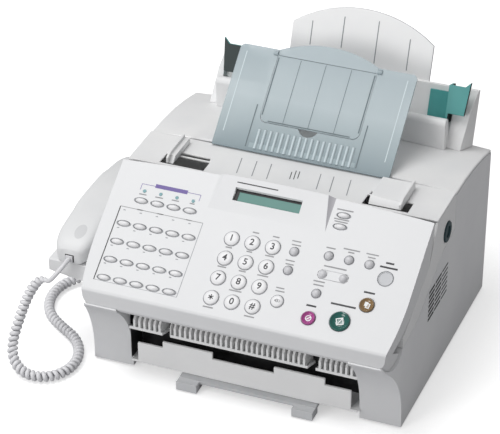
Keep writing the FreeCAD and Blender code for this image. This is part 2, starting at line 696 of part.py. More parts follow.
def exit_guide():
    """Comb of curved fingers that lifts the paper out over the exit."""
    body = new_body("exit_guide")
    rail = rectangle(d.comb_depth, d.comb_low, d.comb_depth + d.comb_back, d.comb_high)
    pad(body, "YZ_Plane", [rail], opening_width, both=True)
    tooth = [
        (d.comb_depth, d.comb_low), (d.comb_depth, d.comb_high),
        (d.comb_tip + d.comb_back, d.comb_high),
        (d.comb_tip, d.comb_high - d.comb_back),
        (d.comb_tip, d.comb_low + d.comb_back * 2),
    ]
    heel = d.comb_low + d.comb_back * 2
    band = [
        (d.comb_depth, d.comb_low), (d.comb_depth, d.comb_low + d.comb_band),
        (d.comb_tip, heel + d.comb_band), (d.comb_tip, heel),
    ]
    pad(body, "YZ_Plane", [band], opening_width - 2 * d.casing_gap, both=True)
    span = opening_width - 2 * d.comb_margin
    start = -span / 2 - d.comb_tooth / 2
    finger = pad(body, "YZ_Plane", [tooth], d.comb_tooth, offset=start)
    row = body.newObject("PartDesign::LinearPattern", "Row")
    row.Originals = [finger]
    axis = [part for part in body.Origin.OriginFeatures if part.Role == "X_Axis"][0]
    row.Direction = (axis, [""])
    bind(row, "Length", span)
    bind(row, "Occurrences", d.comb_count)
    body.Tip = row
    gaps = [
        rectangle(middle - d.comb_gap / 2, d.comb_low - FAR, middle + d.comb_gap / 2, d.comb_high + FAR)
        for middle in (d.comb_gap_left - opening_width / 2, opening_width / 2 - d.comb_gap_right)
    ]
    pocket(body, "XZ_Plane", gaps, FAR, offset=-d.comb_depth, back=True)
    return keep(body)


def stacker_tray():
    """Pull-out stacker: two end blocks, a bar and two arms that slide between floor and shelf."""
    low = d.stacker_low
    bar_low = d.exit_cover_low - d.sliding_gap - d.stacker_arm
    arm_start = d.stacker_front + d.stacker_bar
    pieces = []
    for side in (-1, 1):
        left = d.stacker_across + side * d.stacker_span / 2 - (d.stacker_block if side > 0 else 0)
        front = d.exit_cover_depth - d.sliding_gap - d.stacker_front
        pieces.append(block(left, d.stacker_front, low, d.stacker_block, front, d.stacker_height))
        pieces.append(block(left, arm_start, bar_low, d.stacker_block, d.stacker_length, d.stacker_arm))
    left = d.stacker_across - d.stacker_span / 2
    pieces.append(block(left, arm_start, bar_low, d.stacker_span, d.stacker_bar, d.stacker_arm))
    return keep(fused("stacker_tray", pieces))


def scanner_frame():
    """Lower tray of the front cover: side plates, stepped floor, back wall, hinge arms and bearings."""
    body = new_body("scanner_frame")
    gap = d.casing_gap
    seam = d.seam_depth - gap / 2
    start = seat_radius + 2 * gap
    skirt = polar(d.skirt_reach, d.skirt_angle)
    outline = [
        polar(start, d.seat_end + d.seat_room),
        (d.floor_front, d.floor_front_height), (d.floor_back, d.floor_back_height),
        (seam, d.floor_seam_height), (seam, d.chute_height - d.wall),
        (d.chute_bend, d.chute_height - d.wall), (skirt[0] + gap, skirt[1] - gap),
        polar(start, d.skirt_angle - d.seat_room),
    ]
    pad(body, "YZ_Plane", [outline], d.body_width, both=True)
    hollow = [
        (d.pivot_depth + start + d.wall, d.floor_front_height),
        (d.floor_front, d.floor_front_height + d.wall), (d.floor_back, d.floor_back_height + d.wall),
        (seam - d.wall, d.floor_seam_height + d.wall), (seam - d.wall, d.chute_height + FAR),
        (d.pivot_depth + start + d.wall, d.chute_height + FAR),
    ]
    pocket(body, "YZ_Plane", [hollow], d.body_width - 2 * d.wall, both=True)
    for left in (arm_inner, -arm_inner - d.ear_thickness):
        knuckle = ("circle", d.pivot_depth, d.pivot_height, d.knuckle_radius)
        pad(body, "YZ_Plane", [knuckle], d.ear_thickness, offset=left)
        arm = [
            (d.pivot_depth, d.pivot_height + d.shaft_radius),
            polar(start + d.wall / 2, d.arm_high),
            polar(start + d.wall / 2, d.arm_low),
            (d.floor_front, d.floor_front_height + d.wall / 2),
            polar(start + d.wall, d.arm_top),
            (d.pivot_depth, d.pivot_height + d.knuckle_radius),
        ]
        pad(body, "YZ_Plane", [arm], d.ear_thickness, offset=left)
    bore = ("circle", d.pivot_depth, d.pivot_height, d.pin_radius + d.shaft_play)
    pocket(body, "YZ_Plane", [bore], 2 * (arm_inner + d.ear_thickness), both=True)
    lean = (d.floor_back_height - d.floor_front_height) / (d.floor_back - d.floor_front)
    for left in (d.bearing_inner, -d.bearing_inner - d.bearing_thickness):
        front, back = d.scan_depth - d.bearing_front, d.feed_depth + d.bearing_back
        plate = [
            (front, d.floor_front_height + (front - d.floor_front) * lean + d.wall),
            (back, d.floor_front_height + (back - d.floor_front) * lean + d.wall),
            (back, d.bearing_top), (d.feed_depth - d.bearing_back, d.bearing_top),
            (front, d.scan_height + d.bearing_back),
        ]
        pad(body, "YZ_Plane", [plate], d.bearing_thickness, offset=left)
    for depth, height in ((d.scan_depth, d.scan_height), (d.feed_depth, d.feed_height)):
        hole = ("circle", depth, height, d.shaft_radius + d.shaft_play)
        pocket(body, "YZ_Plane", [hole], 2 * (d.bearing_inner + d.bearing_thickness), both=True)
    hole = ("circle", d.button_depth, d.button_height, d.button_radius + d.sliding_gap)
    pocket(body, "YZ_Plane", [hole], 2 * d.wall, offset=half, both=True)
    return keep(body)


def document_chute():
    """Strip behind the panel that turns the document down into the feed slot, with slots for the guides."""
    body = new_body("document_chute")
    seam = d.seam_depth - d.casing_gap / 2
    top, low = d.chute_height, d.chute_height - d.wall
    outline = [
        (d.chute_bend, low), (seam, low), (seam, top), (d.chute_bend, top),
        (d.chute_front, top - d.chute_drop), (d.chute_front, low - d.chute_drop),
    ]
    pad(body, "YZ_Plane", [outline], d.body_width, both=True)
    ends = rectangle(d.chute_front - d.wall, -FAR, d.chute_bend, FAR + d.chute_height)
    for side in (1, -1):
        across = side * (d.bin_half + half) / 2 + side * d.chute_shift
        pocket(body, "YZ_Plane", [ends], d.bin_half, offset=across, both=True)
    middle = d.fin_front + d.fin_length / 2
    track = []
    for side in (1, -1):
        track.append(rectangle(
            side * (fin_across + d.fin_thickness + d.sliding_gap), middle - d.fin_thickness,
            side * (fin_across - d.guide_travel - d.fin_thickness), middle + d.fin_thickness,
        ))
        track.append(rectangle(
            side * (fin_across + d.feed_slot_outer), d.fin_front,
            side * (fin_across - d.feed_slot_inner), d.fin_front + d.feed_slot_length,
        ))
    pocket(body, "XY_Plane", track, 2 * FAR, both=True)
    return keep(body)


def document_guide(label, side):
    """Document fence: a fin with a sloped nose, a flat block beside it and a tongue in the strip's slot."""
    body = new_body(label)
    base = d.chute_height + d.sliding_gap
    back = d.fin_front + d.fin_length
    fin = [
        (d.fin_front, base), (back, base), (back, base + d.fin_height),
        (d.fin_front + d.fin_height, base + d.fin_height), (d.fin_front, base + d.guide_block_height),
    ]
    outer = side * fin_across
    left = outer if side > 0 else outer - d.fin_thickness
    pad(body, "YZ_Plane", [fin], d.fin_thickness, offset=left)
    wedge = [
        (d.fin_front, base), (back, base), (back, base + d.guide_block_height),
        (d.fin_front + d.guide_block_height, base + d.guide_block_height),
    ]
    width = d.guide_block_width if side > 0 else d.guide_block_left
    left = outer - width if side > 0 else outer
    pad(body, "YZ_Plane", [wedge], width, offset=left)
    middle = d.fin_front + d.fin_length / 2
    tongue = rectangle(
        side * (fin_across - d.fin_thickness), middle - d.fin_thickness + d.sliding_gap,
        side * (fin_across + d.fin_thickness), middle + d.fin_thickness - d.sliding_gap,
    )
    pad(body, "XY_Plane", [tongue], d.wall + d.sliding_gap, offset=base, back=True)
    return keep(body)


def scan_sensor():
    """Contact image sensor bar on the cover's floor, under the white roller."""
    lean = (d.floor_back_height - d.floor_front_height) / (d.floor_back - d.floor_front)
    front, back = d.sensor_front, d.sensor_front + d.sensor_depth
    floor = [d.floor_front_height + (spot - d.floor_front) * lean + d.wall for spot in (front, back)]
    body = new_body("scan_sensor")
    outline = [
        (front, floor[0]), (back, floor[1]), (back, d.sensor_height - d.sensor_bevel),
        (back - d.sensor_bevel, d.sensor_height), (front + d.sensor_bevel, d.sensor_height),
        (front, d.sensor_height - d.sensor_bevel),
    ]
    pad(body, "YZ_Plane", [outline], d.sensor_width, both=True)
    return keep(body)


def release_button():
    """Round dished button in the right side that unlatches the front cover."""
    start = half + d.button_proud - d.button_length
    face = drum(start, d.button_depth, d.button_height, d.button_radius, d.button_length, d.key_sides)
    dish = drum(
        half + d.button_proud - d.seat_lip, d.button_depth, d.button_height,
        d.button_bore, d.button_length, d.roller_sides,
    )
    return keep(cut("release_button", face, dish))


def panel_spot():
    """Place of the panel's own frame: its front top edge, turned to its slope."""
    return {"depth": front_edge, "height": panel_edge_height, "tilt": d.panel_slope}


def panel_polar(radius, angle):
    """A point around the hinge axis in the panel's own frame, the angle measured in the machine's frame."""
    lean = angle - d.panel_slope
    along = d.nose_front * cosine(d.panel_slope) - d.nose_rise * sine(d.panel_slope)
    up = -d.nose_front * sine(d.panel_slope) - d.nose_rise * cosine(d.panel_slope)
    return along + radius * cosine(lean), up + radius * sine(lean)


def panel_front(reach, radius):
    """Where a plane this far in front of the hinge axis meets an arc around it, in the panel's own frame."""
    along, up = panel_polar(degrees(0), degrees(0))
    drop = root(radius * radius - reach * reach)
    turn = d.panel_slope
    return along - reach * cosine(turn) - drop * sine(turn), up + reach * sine(turn) - drop * cosine(turn)


def panel_shell():
    """Sloping key panel with a rolled nose, side skirts and a raised display console."""
    body = new_body("panel_shell")
    slope = d.panel_slope
    short = d.nose_round * tangent((90 - slope) / 2)
    axis = panel_polar(degrees(0), degrees(0))
    nose = panel_front(d.nose_front, d.nose_radius)
    skirt = panel_polar(d.skirt_reach, d.skirt_angle)
    outline = [
        (d.panel_length, 0), (short, 0, d.nose_round, 1),
        (-short * sine(slope), -short * cosine(slope)),
        (*nose, d.nose_radius, 1),
        (*panel_polar(d.nose_radius, degrees(255)), d.nose_radius, 1),
        panel_polar(d.nose_radius, d.skirt_end),
        axis, skirt,
    ]
    pad(body, "YZ_Plane", [outline], d.body_width, both=True)
    shell = d.nose_radius - d.wall
    hollow = [
        (d.panel_length + FAR, -d.wall),
        (d.wall * tangent((90 - slope) / 2), -d.wall),
        (*panel_front(d.nose_front - d.wall, shell), shell, 1),
        panel_polar(shell, d.shell_end), panel_polar(degrees(FAR), d.shell_end),
        (d.panel_length + FAR, -FAR),
    ]
    cheek = half - d.nose_taper - d.wall
    pocket(body, "YZ_Plane", [hollow], 2 * cheek, both=True)
    for left in (cheek - d.boss_length, -cheek):
        boss = ("circle", *axis, d.knuckle_radius)
        pad(body, "YZ_Plane", [boss], d.boss_length, offset=left)
    bore = ("circle", *axis, d.pin_radius + d.shaft_play)
    pocket(body, "YZ_Plane", [bore], 2 * cheek, both=True)
    wedge = body.newObject("PartDesign::AdditiveWedge", "Console")
    wedge.Placement = FreeCAD.Placement(Vector(0, 0, 0), FreeCAD.Rotation(Vector(1, 0, 0), 90))
    for prop, size in (
        ("Xmin", -d.console_width / 2), ("Xmax", d.console_width / 2), ("Ymin", -d.wall / 2),
        ("Ymax", d.console_rise), ("Zmin", -d.panel_length), ("Zmax", -d.console_front),
        ("X2min", -d.console_top_width / 2), ("X2max", d.console_top_width / 2),
        ("Z2min", -d.panel_length), ("Z2max", -d.panel_length),
    ):
        bind(wedge, prop, size)
    bow = (half * half + d.panel_bow * d.panel_bow) / (2 * d.panel_bow)
    arch = [
        (half, d.panel_length - d.panel_bow, bow, 1), (-half, d.panel_length - d.panel_bow),
        (-half, d.panel_length + FAR), (half, d.panel_length + FAR),
    ]
    corners = front_corners(axis[0] - d.nose_radius, d.panel_taper_reach)
    pocket(body, "XY_Plane", [*corners, arch], 4 * FAR, both=True)
    window = rectangle(
        d.display_left, d.display_front,
        d.display_left + d.display_width, d.display_front + d.display_length,
    )
    pocket(body, "XY_Plane", [window], d.console_rise + d.display_sink, offset=d.console_rise)
    return body


def eight_sided(across, along, width, depth):
    """Outline of a short oval button, its ends drawn with straight facets."""
    end = depth / 2
    shoulder = end * math.tan(math.radians(22.5))
    x, y = width / 2, depth / 2
    straight = x - end + shoulder
    corners = [(x, -shoulder), (x, shoulder), (straight, y), (-straight, y)]
    corners += [(-a, -b) for a, b in corners]
    return [Vector(across + a, along + b, 0) for a, b in corners]


def oval_places():
    """Centres of the oval buttons, by group, in the panel's frame."""
    touch = [
        (d.touch_inset - half + column * d.touch_pitch, d.touch_front + row * d.touch_row)
        for row in range(4) for column in range(5)
    ]
    mode = [(d.mode_inset - half + column * d.mode_pitch, d.mode_along) for column in range(4)]
    mode += [(d.side_oval_across, d.side_oval_along + row * d.side_oval_row) for row in range(2)]
    return {"one_touch_keys": touch, "mode_keys": mode}


def function_places():
    """Centres of the small round function keys in the panel's frame."""
    across, back, row = function_middle, d.function_back, d.function_row
    top = [(across + column * d.function_pitch, back) for column in range(3)]
    left = [(d.function_left, back - index * row - d.seat_lip * 2) for index in range(2)]
    return top + left + [(across, back - 2 * row)]


def round_keys():
    """Name, centre and diameter of each round key with a node of its own."""
    names = [["star", "0", "hash"], ["7", "8", "9"], ["4", "5", "6"], ["1", "2", "3"]]
    keys = []
    for row, labels in enumerate(names):
        for column, name in enumerate(labels):
            across = d.keypad_left + column * d.keypad_pitch
            keys.append((f"key_{name}", across, d.keypad_front + row * d.keypad_pitch, d.keypad_key))
    for name in ("start", "stop", "copy", "speaker", "forward"):
        across, along = half - getattr(d, f"{name}_inset"), getattr(d, f"{name}_along")
        keys.append((f"{name}_key", across, along, getattr(d, f"{name}_key")))
    return keys


def lamp_places():
    return [(d.mode_inset - half + column * d.mode_pitch, d.lamp_along) for column in range(4)]


def prism(outline, low, high):
    face = Part.Face(Part.makePolygon(outline + outline[:1]))
    face.translate(Vector(0, 0, low))
    return face.extrude(Vector(0, 0, high - low))


def disc(across, along, diameter, sides, low, high):
    """A round piece or hole, drawn with few sides."""
    turn = 2 * math.pi / int(sides.value)
    spokes = [(math.cos(turn * step), math.sin(turn * step)) for step in range(int(sides.value))]
    radius = diameter / 2
    return prism([Vector(across + radius * a, along + radius * b, 0) for a, b in spokes], low, high)


def key_holes():
    """Every hole in the panel for keys and lamps, as one tool in the panel's frame."""
    play, low, high = 2 * d.key_play.value, -2 * d.wall.value, 2 * d.wall.value
    shapes = []
    for places in oval_places().values():
        for across, along in places:
            width, depth = d.oval_width.value + play, d.oval_depth.value + play
            shapes.append(prism(eight_sided(across.value, along.value, width, depth), low, high))
    for _, across, along, diameter in round_keys():
        shapes.append(disc(across.value, along.value, diameter.value + play, d.key_sides, low, high))
    for across, along in function_places():
        diameter = d.function_key.value + play
        shapes.append(disc(across.value, along.value, diameter, d.roller_sides, low, high))
    for across, along in lamp_places():
        shapes.append(disc(across.value, along.value, d.lamp_diameter.value, d.small_sides, low, high))
    shapes.append(prism(rocker_outline(d.key_play.value), low, high))
    holes = doc.addObject("Part::Feature", "key_holes")
    holes.Shape = Part.makeCompound(shapes)
    return holes


def rocker_outline(margin):
    """Top view of the scroll rocker between its two function keys."""
    middle = function_middle.value + d.function_pitch.value / 2
    width, depth = d.rocker_width.value + 2 * margin, d.rocker_depth.value + 2 * margin
    return eight_sided(middle, d.rocker_along.value, width, depth)


def control_panel():
    return keep(cut("control_panel", panel_shell(), key_holes()), **panel_spot())


def key_cap(label, rings):
    """A round key lofted through many-sided rings, each given by its height and radius."""
    cap = doc.addObject("Part::Loft", label)
    cap.Label = label
    sections = []
    for height, radius in rings:
        ring = doc.addObject("Part::RegularPolygon", "Ring")
        bind(ring, "Polygon", d.key_sides)
        bind(ring, "Circumradius", radius)
        bind(ring, "Placement.Base.z", height)
        sections.append(ring)
    cap.Sections = sections
    cap.Solid = True
    cap.Ruled = True
    return cap


def key_caps():
    """All keys: round keys as nodes of their own, ovals and small function keys as groups."""
    low, high = -d.key_sink, d.key_rise
    for label, across, along, diameter in round_keys():
        radius = diameter / 2
        rings = [(low, radius), (high - d.key_bevel, radius), (high, radius - d.key_bevel)]
        cap = key_cap(label, rings)
        spot = panel_spot()
        spot["across"] = across
        spot["depth"] = spot["depth"] + along * cosine(d.panel_slope)
        spot["height"] = spot["height"] + along * sine(d.panel_slope)
        keep(cap, **spot)
    low, high = low.value, high.value
    for label, places in oval_places().items():
        width, depth = d.oval_width.value, d.oval_depth.value
        shapes = [prism(eight_sided(a.value, b.value, width, depth), low, high) for a, b in places]
        keep(solid_group(label, shapes), **panel_spot())
    keep(solid_group("scroll_rocker", [prism(rocker_outline(0), low, high)]), **panel_spot())
    diameter, sides = d.function_key.value, d.roller_sides
    shapes = [disc(a.value, b.value, diameter, sides, low, high) for a, b in function_places()]
    keep(solid_group("function_keys", shapes), **panel_spot())
    diameter, sides = d.lamp_diameter.value, d.small_sides
    low, high = -d.wall.value, d.key_play.value
    shapes = [disc(a.value, b.value, diameter, sides, low, high) for a, b in lamp_places()]
    keep(solid_group("status_lamps", shapes), **panel_spot())


def solid_group(label, shapes):
    made = doc.addObject("Part::Feature", label)
    made.Label = label
    made.Shape = Part.makeCompound(shapes) if len(shapes) > 1 else shapes[0]
    return made


def lcd_window():
    body = new_body("lcd_window")
    glass = rectangle(
        d.display_left, d.display_front,
        d.display_left + d.display_width, d.display_front + d.display_length,
    )
    pad(body, "XY_Plane", [glass], d.display_sink / 2, offset=-d.display_sink)
    return keep(body, **panel_spot())


def roller(label, depth, height, radius, tyres, length, reach):
    """A shaft along X with rubber tyres at the given middles."""
    pieces = [drum(-reach, depth, height, d.shaft_radius, 2 * reach, d.roller_sides)]
    pieces += [drum(middle - length / 2, depth, height, radius, length, d.roller_sides) for middle in tyres]
    return keep(fused(label, pieces))


def rollers():
    reach = d.bearing_inner + d.bearing_thickness
    roller("scan_roller", d.scan_depth, d.scan_height, d.scan_radius, [as_size(0)], d.scan_length, reach)
    feed = [-d.feed_tyre, d.feed_tyre]
    roller("feed_roller", d.feed_depth, d.feed_height, d.feed_radius, feed, d.feed_tyre, reach)
    roller(
        "pickup_roller", d.pickup_depth, d.pickup_height, d.pickup_radius, [as_size(0)], d.pickup_tyre, reach,
    )
    out = [d.out_pitch * step for step in (-1.5, -0.5, 0.5, 1.5)]
    roller("exit_rollers", d.out_depth, d.out_height, d.out_radius, out, d.out_tyre, reach)


def feet_under(front, depth, top):
    """Two side feet that stand a unit on the base's floor, clear of the stacker's arms."""
    floor = d.foot_height + d.wall
    return [
        block(left, front, floor, d.unit_foot, depth, top - floor)
        for left in (-d.inner_half, d.inner_half - d.unit_foot)
    ]


def inside_pieces():
    """Laser unit, toner cartridge, fuser, main board, drive motor and rear sockets."""
    floor = d.foot_height + d.wall
    raised = d.exit_cover_low + d.wall
    width = 2 * d.inner_half
    keep(fused("laser_unit", [
        block(-d.inner_half, d.laser_front, raised, width, d.laser_depth, d.laser_height - raised),
        *feet_under(d.laser_front, d.laser_depth, raised),
        drum(
            -d.motor_length / 2, d.laser_front + d.laser_depth, d.laser_height / 2,
            d.out_radius, d.motor_length, d.small_sides,
        ),
    ]))
    body = new_body("toner_cartridge")
    back = d.laser_front + d.laser_depth
    outline = [
        (d.laser_front, d.laser_height), (back, d.laser_height), (back, d.floor_back_height - d.wall * 4),
        (d.floor_back, d.floor_back_height - d.wall * 4), (d.laser_front, d.toner_height),
    ]
    pad(body, "YZ_Plane", [outline], width, both=True)
    keep(body)
    keep(fused("fuser_unit", [
        block(-d.inner_half, d.fuser_front, raised, width, d.fuser_depth, d.fuser_height - raised),
        *feet_under(d.fuser_front, d.fuser_depth, raised),
        drum(
            -d.inner_half, d.fuser_front + d.fuser_depth / 2, d.fuser_height,
            d.scan_radius, width, d.roller_sides,
        ),
    ]))
    board_low = floor + d.board_height
    left = -d.board_width / 2
    pieces = [block(left, d.board_front, board_low, d.board_width, d.board_depth, d.board_thickness)]
    for side in (-1, 1):
        left = side * (d.board_width / 2 - d.board_height) - d.board_height / 2
        for front in (d.board_front, d.board_front + d.board_depth - d.board_height):
            pieces.append(block(left, front, floor, d.board_height, d.board_height, d.board_height))
    keep(fused("main_board", pieces))
    keep(fused("drive_motor", [
        drum(
            inner - d.motor_length, d.motor_depth, d.motor_height,
            d.motor_radius, d.motor_length, d.key_sides,
        ),
        drum(
            inner - d.motor_length - d.button_length, d.motor_depth, d.motor_height,
            d.shaft_radius, d.motor_length, d.small_sides,
        ),
    ]))


def rear_sockets():
    """Blocks of the mains inlet and two line jacks, each seated behind the back wall."""
    pieces = []
    depth = d.base_depth + d.rear_lean * (d.socket_height - d.foot_height) / (d.rear_height - d.foot_height)
    inside = depth - d.wall
    left = d.socket_across - d.socket_width / 2
    front = inside - d.socket_depth
    inlet = block(left, front, d.socket_height, d.socket_width, d.socket_depth, d.socket_width)
    pieces.append(inlet)
    for index in range(int(d.jack_count.value)):
        start = -d.socket_across + index * d.jack_pitch
        pieces.append(block(start, front, d.socket_height, d.jack_width, d.socket_depth, d.jack_height))
    return keep(group("rear_sockets", pieces))


def hinge_pins():
    """Two pins that stand out of the base's ears and carry the front cover and the control panel."""
    pin_start = ear_inner + d.ear_thickness
    return keep(group("hinge_pins", [
        rod(left, d.pivot_depth, d.pivot_height, d.pin_radius, d.pin_length)
        for left in (pin_start, -pin_start - d.pin_length)
    ]))


def rubber_feet():
    pieces = []
    for across in (d.foot_inset - half, half - d.foot_inset):
        for depth in (d.opening_depth + d.foot_inset, d.base_depth - d.foot_inset):
            foot = doc.addObject("Part::Prism", "Foot")
            bind(foot, "Polygon", d.roller_sides)
            bind(foot, "Circumradius", d.foot_radius)
            bind(foot, "Height", d.foot_height)
            bind(foot, "Placement.Base.x", across)
            bind(foot, "Placement.Base.y", depth)
            pieces.append(foot)
    return keep(group("rubber_feet", pieces))


def handset_cradle():
    """Shelf on the left side that carries the handset, with a hollow under the grip and a switch well."""
    body = new_body("handset_cradle")
    outer = -half - d.cradle_width
    section = [
        (-half, d.cradle_low), (-half, d.cradle_top), (outer, d.cradle_top), (outer, d.cradle_edge),
    ]
    back = d.cradle_front + d.cradle_length
    pad(body, "XZ_Plane", [section], d.cradle_length, offset=-back)
    across = handset_middle()
    well = rectangle(
        across - d.lift_switch / 2 - d.sliding_gap, switch_depth() - d.lift_switch / 2 - d.sliding_gap,
        across + d.lift_switch / 2 + d.sliding_gap, switch_depth() + d.lift_switch / 2 + d.sliding_gap,
    )
    pocket(body, "XY_Plane", [well], d.lift_switch, offset=d.cradle_top)
    hollow = rectangle(
        outer + d.wall, d.handset_front + d.handset_cup + d.wall,
        -half - d.wall, d.handset_front + d.handset_length - d.handset_cup - d.wall,
    )
    pocket(body, "XY_Plane", [hollow], d.lift_switch, offset=d.cradle_top)
    return keep(body)


def handset_middle():
    return -half - d.handset_side - d.handset_width / 2


def switch_depth():
    return d.handset_front + d.handset_length - d.handset_cup / 2


def hook_switch():
    """Plunger in the cradle that the earpiece holds down."""
    body = new_body("hook_switch")
    across = handset_middle()
    stem = rectangle(
        across - d.lift_switch / 2, switch_depth() - d.lift_switch / 2,
        across + d.lift_switch / 2, switch_depth() + d.lift_switch / 2,
    )
    top = d.handset_low - d.sliding_gap
    pad(body, "XY_Plane", [stem], d.lift_switch_rise, offset=top - d.lift_switch_rise)
    return keep(body)


def handset_stations():
    """Depth from an end, width and top height of the handset's sections, from one end to the other."""
    ends = [
        (as_size(0), d.handset_tip_width, d.handset_end),
        (d.handset_cheek_reach, d.handset_cheek_width, d.handset_cheek),
        (d.handset_shoulder_reach, d.handset_width, d.handset_shoulder),
    ]
    middle = [(d.handset_length / 2, d.handset_width, d.handset_crest)]
    return ends + middle + [(d.handset_length - reach, width, top) for reach, width, top in reversed(ends)]


def handset():
    """Bowed grip with an earpiece and a mouthpiece that face down, and a jack in the front end."""
    rings = []
    for index, (reach, width, top) in enumerate(handset_stations()):
        ring = doc.addObject("Sketcher::SketchObject", f"handset_ring_{index}")
        ring.Placement = FreeCAD.Placement(Vector(0, 0, 0), FreeCAD.Rotation(Vector(1, 0, 0), 90))
        bind(ring, "Placement.Base.x", handset_middle())
        bind(ring, "Placement.Base.y", d.handset_front + reach)
        edge, soft = width / 2, d.handset_round
        add_loop(ring, [
            (edge, d.handset_low), (edge, top - soft),
            (edge - soft * 0.3, top - soft * 0.3), (edge - soft, top),
            (soft - edge, top), (soft * 0.3 - edge, top - soft * 0.3),
            (-edge, top - soft), (-edge, d.handset_low),
        ])
        rings.append(ring)
    bar = doc.addObject("Part::Loft", "handset_bar")
    bar.Sections = rings
    bar.Solid = True
    bar.Ruled = True
    front, back = d.handset_front, d.handset_front + d.handset_length
    cup, slant = d.handset_cup, d.handset_slant
    body = new_body("handset_hollows")
    grip = [
        (front + cup, d.handset_low - d.wall), (front + cup, d.handset_low),
        (front + cup + slant, d.handset_grip), (back - cup - slant, d.handset_grip),
        (back - cup, d.handset_low), (back - cup, d.handset_low - d.wall),
    ]
    pad(body, "YZ_Plane", [grip], 2 * d.handset_width, offset=handset_middle() - d.handset_width)
    jack = rectangle(-d.plug_width / 2, -d.plug_height / 2, d.plug_width / 2, d.plug_height / 2)
    hole = [(d.handset_jack_across + across, d.handset_jack_level + up) for across, up in jack]
    pad(body, "XZ_Plane", [hole], d.plug_length, offset=-front - d.plug_length + d.plug_proud)
    return keep(cut("handset", bar, body))


def cord_plugs():
    """Small plugs on the cord's two ends, seated in the handset and in the body's left side."""
    wide, tall = d.plug_width, d.plug_height
    first = block(
        d.handset_jack_across - wide / 2, d.handset_front - d.plug_proud, d.handset_jack_level - tall / 2,
        wide, d.plug_length, tall,
    )
    second = block(
        -half - d.plug_proud, d.jack_depth - wide / 2, d.jack_level - tall / 2, d.plug_length, wide, tall,
    )
    for label, piece in (("cord_plug_handset", first), ("cord_plug_base", second)):
        keep(group(label, [piece]))


def cord_runs(route):
    """The route as straight runs joined by tangent arcs: start, direction, inward side, radius, length."""
    points = [Vector(*spot) for spot in route]
    runs, here = [], points[0]
    for before, corner, after in zip(points, points[1:], points[2:]):
        ahead, onward = corner - before, after - corner
        trim = 0.45 * min(ahead.Length, onward.Length)
        ahead.normalize()
        onward.normalize()
        turn = ahead.getAngle(onward)
        radius = trim / math.tan(turn / 2)
        start = corner - ahead * trim
        inward = (onward - ahead * ahead.dot(onward)).normalize()
        runs.append((here, ahead, None, 0.0, (start - here).Length))
        runs.append((start, ahead, inward, radius, radius * turn))
        here = corner + onward * trim
    last = points[-1] - here
    runs.append((here, Vector(last).normalize(), None, 0.0, last.Length))
    return runs


def along_runs(runs, distance):
    """Point and direction at a distance along the runs."""
    for start, ahead, inward, radius, length in runs:
        if distance <= length:
            break
        distance -= length
    else:
        distance += length
    if inward is None:
        return start + ahead * distance, ahead
    angle = distance / radius
    point = start + ahead * (radius * math.sin(angle)) + inward * (radius * (1 - math.cos(angle)))
    return point, ahead * math.cos(angle) + inward * math.sin(angle)


def ease(share):
    share = min(max(share, 0.0), 1.0)
    return share * share * (3 - 2 * share)


class Curl:
    """The line of the curly cord: a straight tail, curls wound round the route and a straight end."""

    STEPS = 3000

    def __init__(self, route):
        self.runs = cord_runs(route)
        self.length = sum(run[4] for run in self.runs)
        self.tail = d.cord_tail.value
        self.coil = self.length - self.tail - d.cord_end_run.value
        self.radius = (d.coil_diameter.value - d.cord_wire.value) / 2
        self.curls = int(d.curl_count.value)
        side = Vector(1, 0, 0)
        self.sides = []
        for step in range(self.STEPS + 1):
            ahead = along_runs(self.runs, self.length * step / self.STEPS)[1]
            side = (side - ahead * side.dot(ahead)).normalize()
            self.sides.append(side)

    def point(self, distance):
        centre, ahead = along_runs(self.runs, distance)
        step = distance / self.length * self.STEPS
        index = min(int(step), self.STEPS - 1)
        side = self.sides[index] * (1 - step + index) + self.sides[index + 1] * (step - index)
        side = (side - ahead * side.dot(ahead)).normalize()
        ramp = d.cord_ramp.value
        swell = ease((distance - self.tail) / ramp)
        swell *= ease((self.tail + self.coil - distance) / ramp)
        turn = 2 * math.pi * self.curls * min(max((distance - self.tail) / self.coil, 0.0), 1.0)
        return centre + (side * math.cos(turn) + ahead.cross(side) * math.sin(turn)) * (self.radius * swell)

    def heading(self, distance):
        near = 1e-3
        if distance <= near or distance >= self.length - near:
            return along_runs(self.runs, distance)[1]
        return (self.point(distance + near) - self.point(distance - near)).normalize()

    def stations(self):
        """Distances where biarcs meet: both straight ends, the tail and every half turn of the coil."""
        straight = d.cord_wire.value
        tail = [straight + (self.tail - straight) * step / 5 for step in range(5)]
        coil = [self.tail + self.coil * step / (2 * self.curls) for step in range(2 * self.curls + 1)]
        return [0.0, *tail, *coil, self.length - straight, self.length]

    def least_gap(self):
        """Least clear distance between one part of the tube and another, on points along its line."""
        count = 40 * self.curls
        spots = [self.point(self.length * step / count) for step in range(count + 1)]
        reach = [0.0]
        for before, after in zip(spots, spots[1:]):
            reach.append(reach[-1] + (after - before).Length)
        apart = math.pi * self.radius
        best = min(
            (spots[first] - spots[second]).Length
            for first in range(0, count, 2) for second in range(first + 1, count, 2)
            if reach[second] - reach[first] > apart
        )
        return best - d.cord_wire.value


def half_arc(point, heading, far, forward):
    """An arc that leaves the point along its heading and ends at the far point."""
    chord = far - point
    side = chord - heading * chord.dot(heading)
    if side.Length < 1e-5:
        ends = (point, far) if forward else (far, point)
        return Part.LineSegment(*ends).toShape()
    radius = chord.dot(chord) / (2 * side.Length)
    centre = point + Vector(side).normalize() * radius
    middle = ((point + far) * 0.5 - centre).normalize() * radius
    if chord.dot(heading) < 0:
        middle = middle * -1
    ends = (point, centre + middle, far) if forward else (far, centre + middle, point)
    return Part.Arc(*ends).toShape()


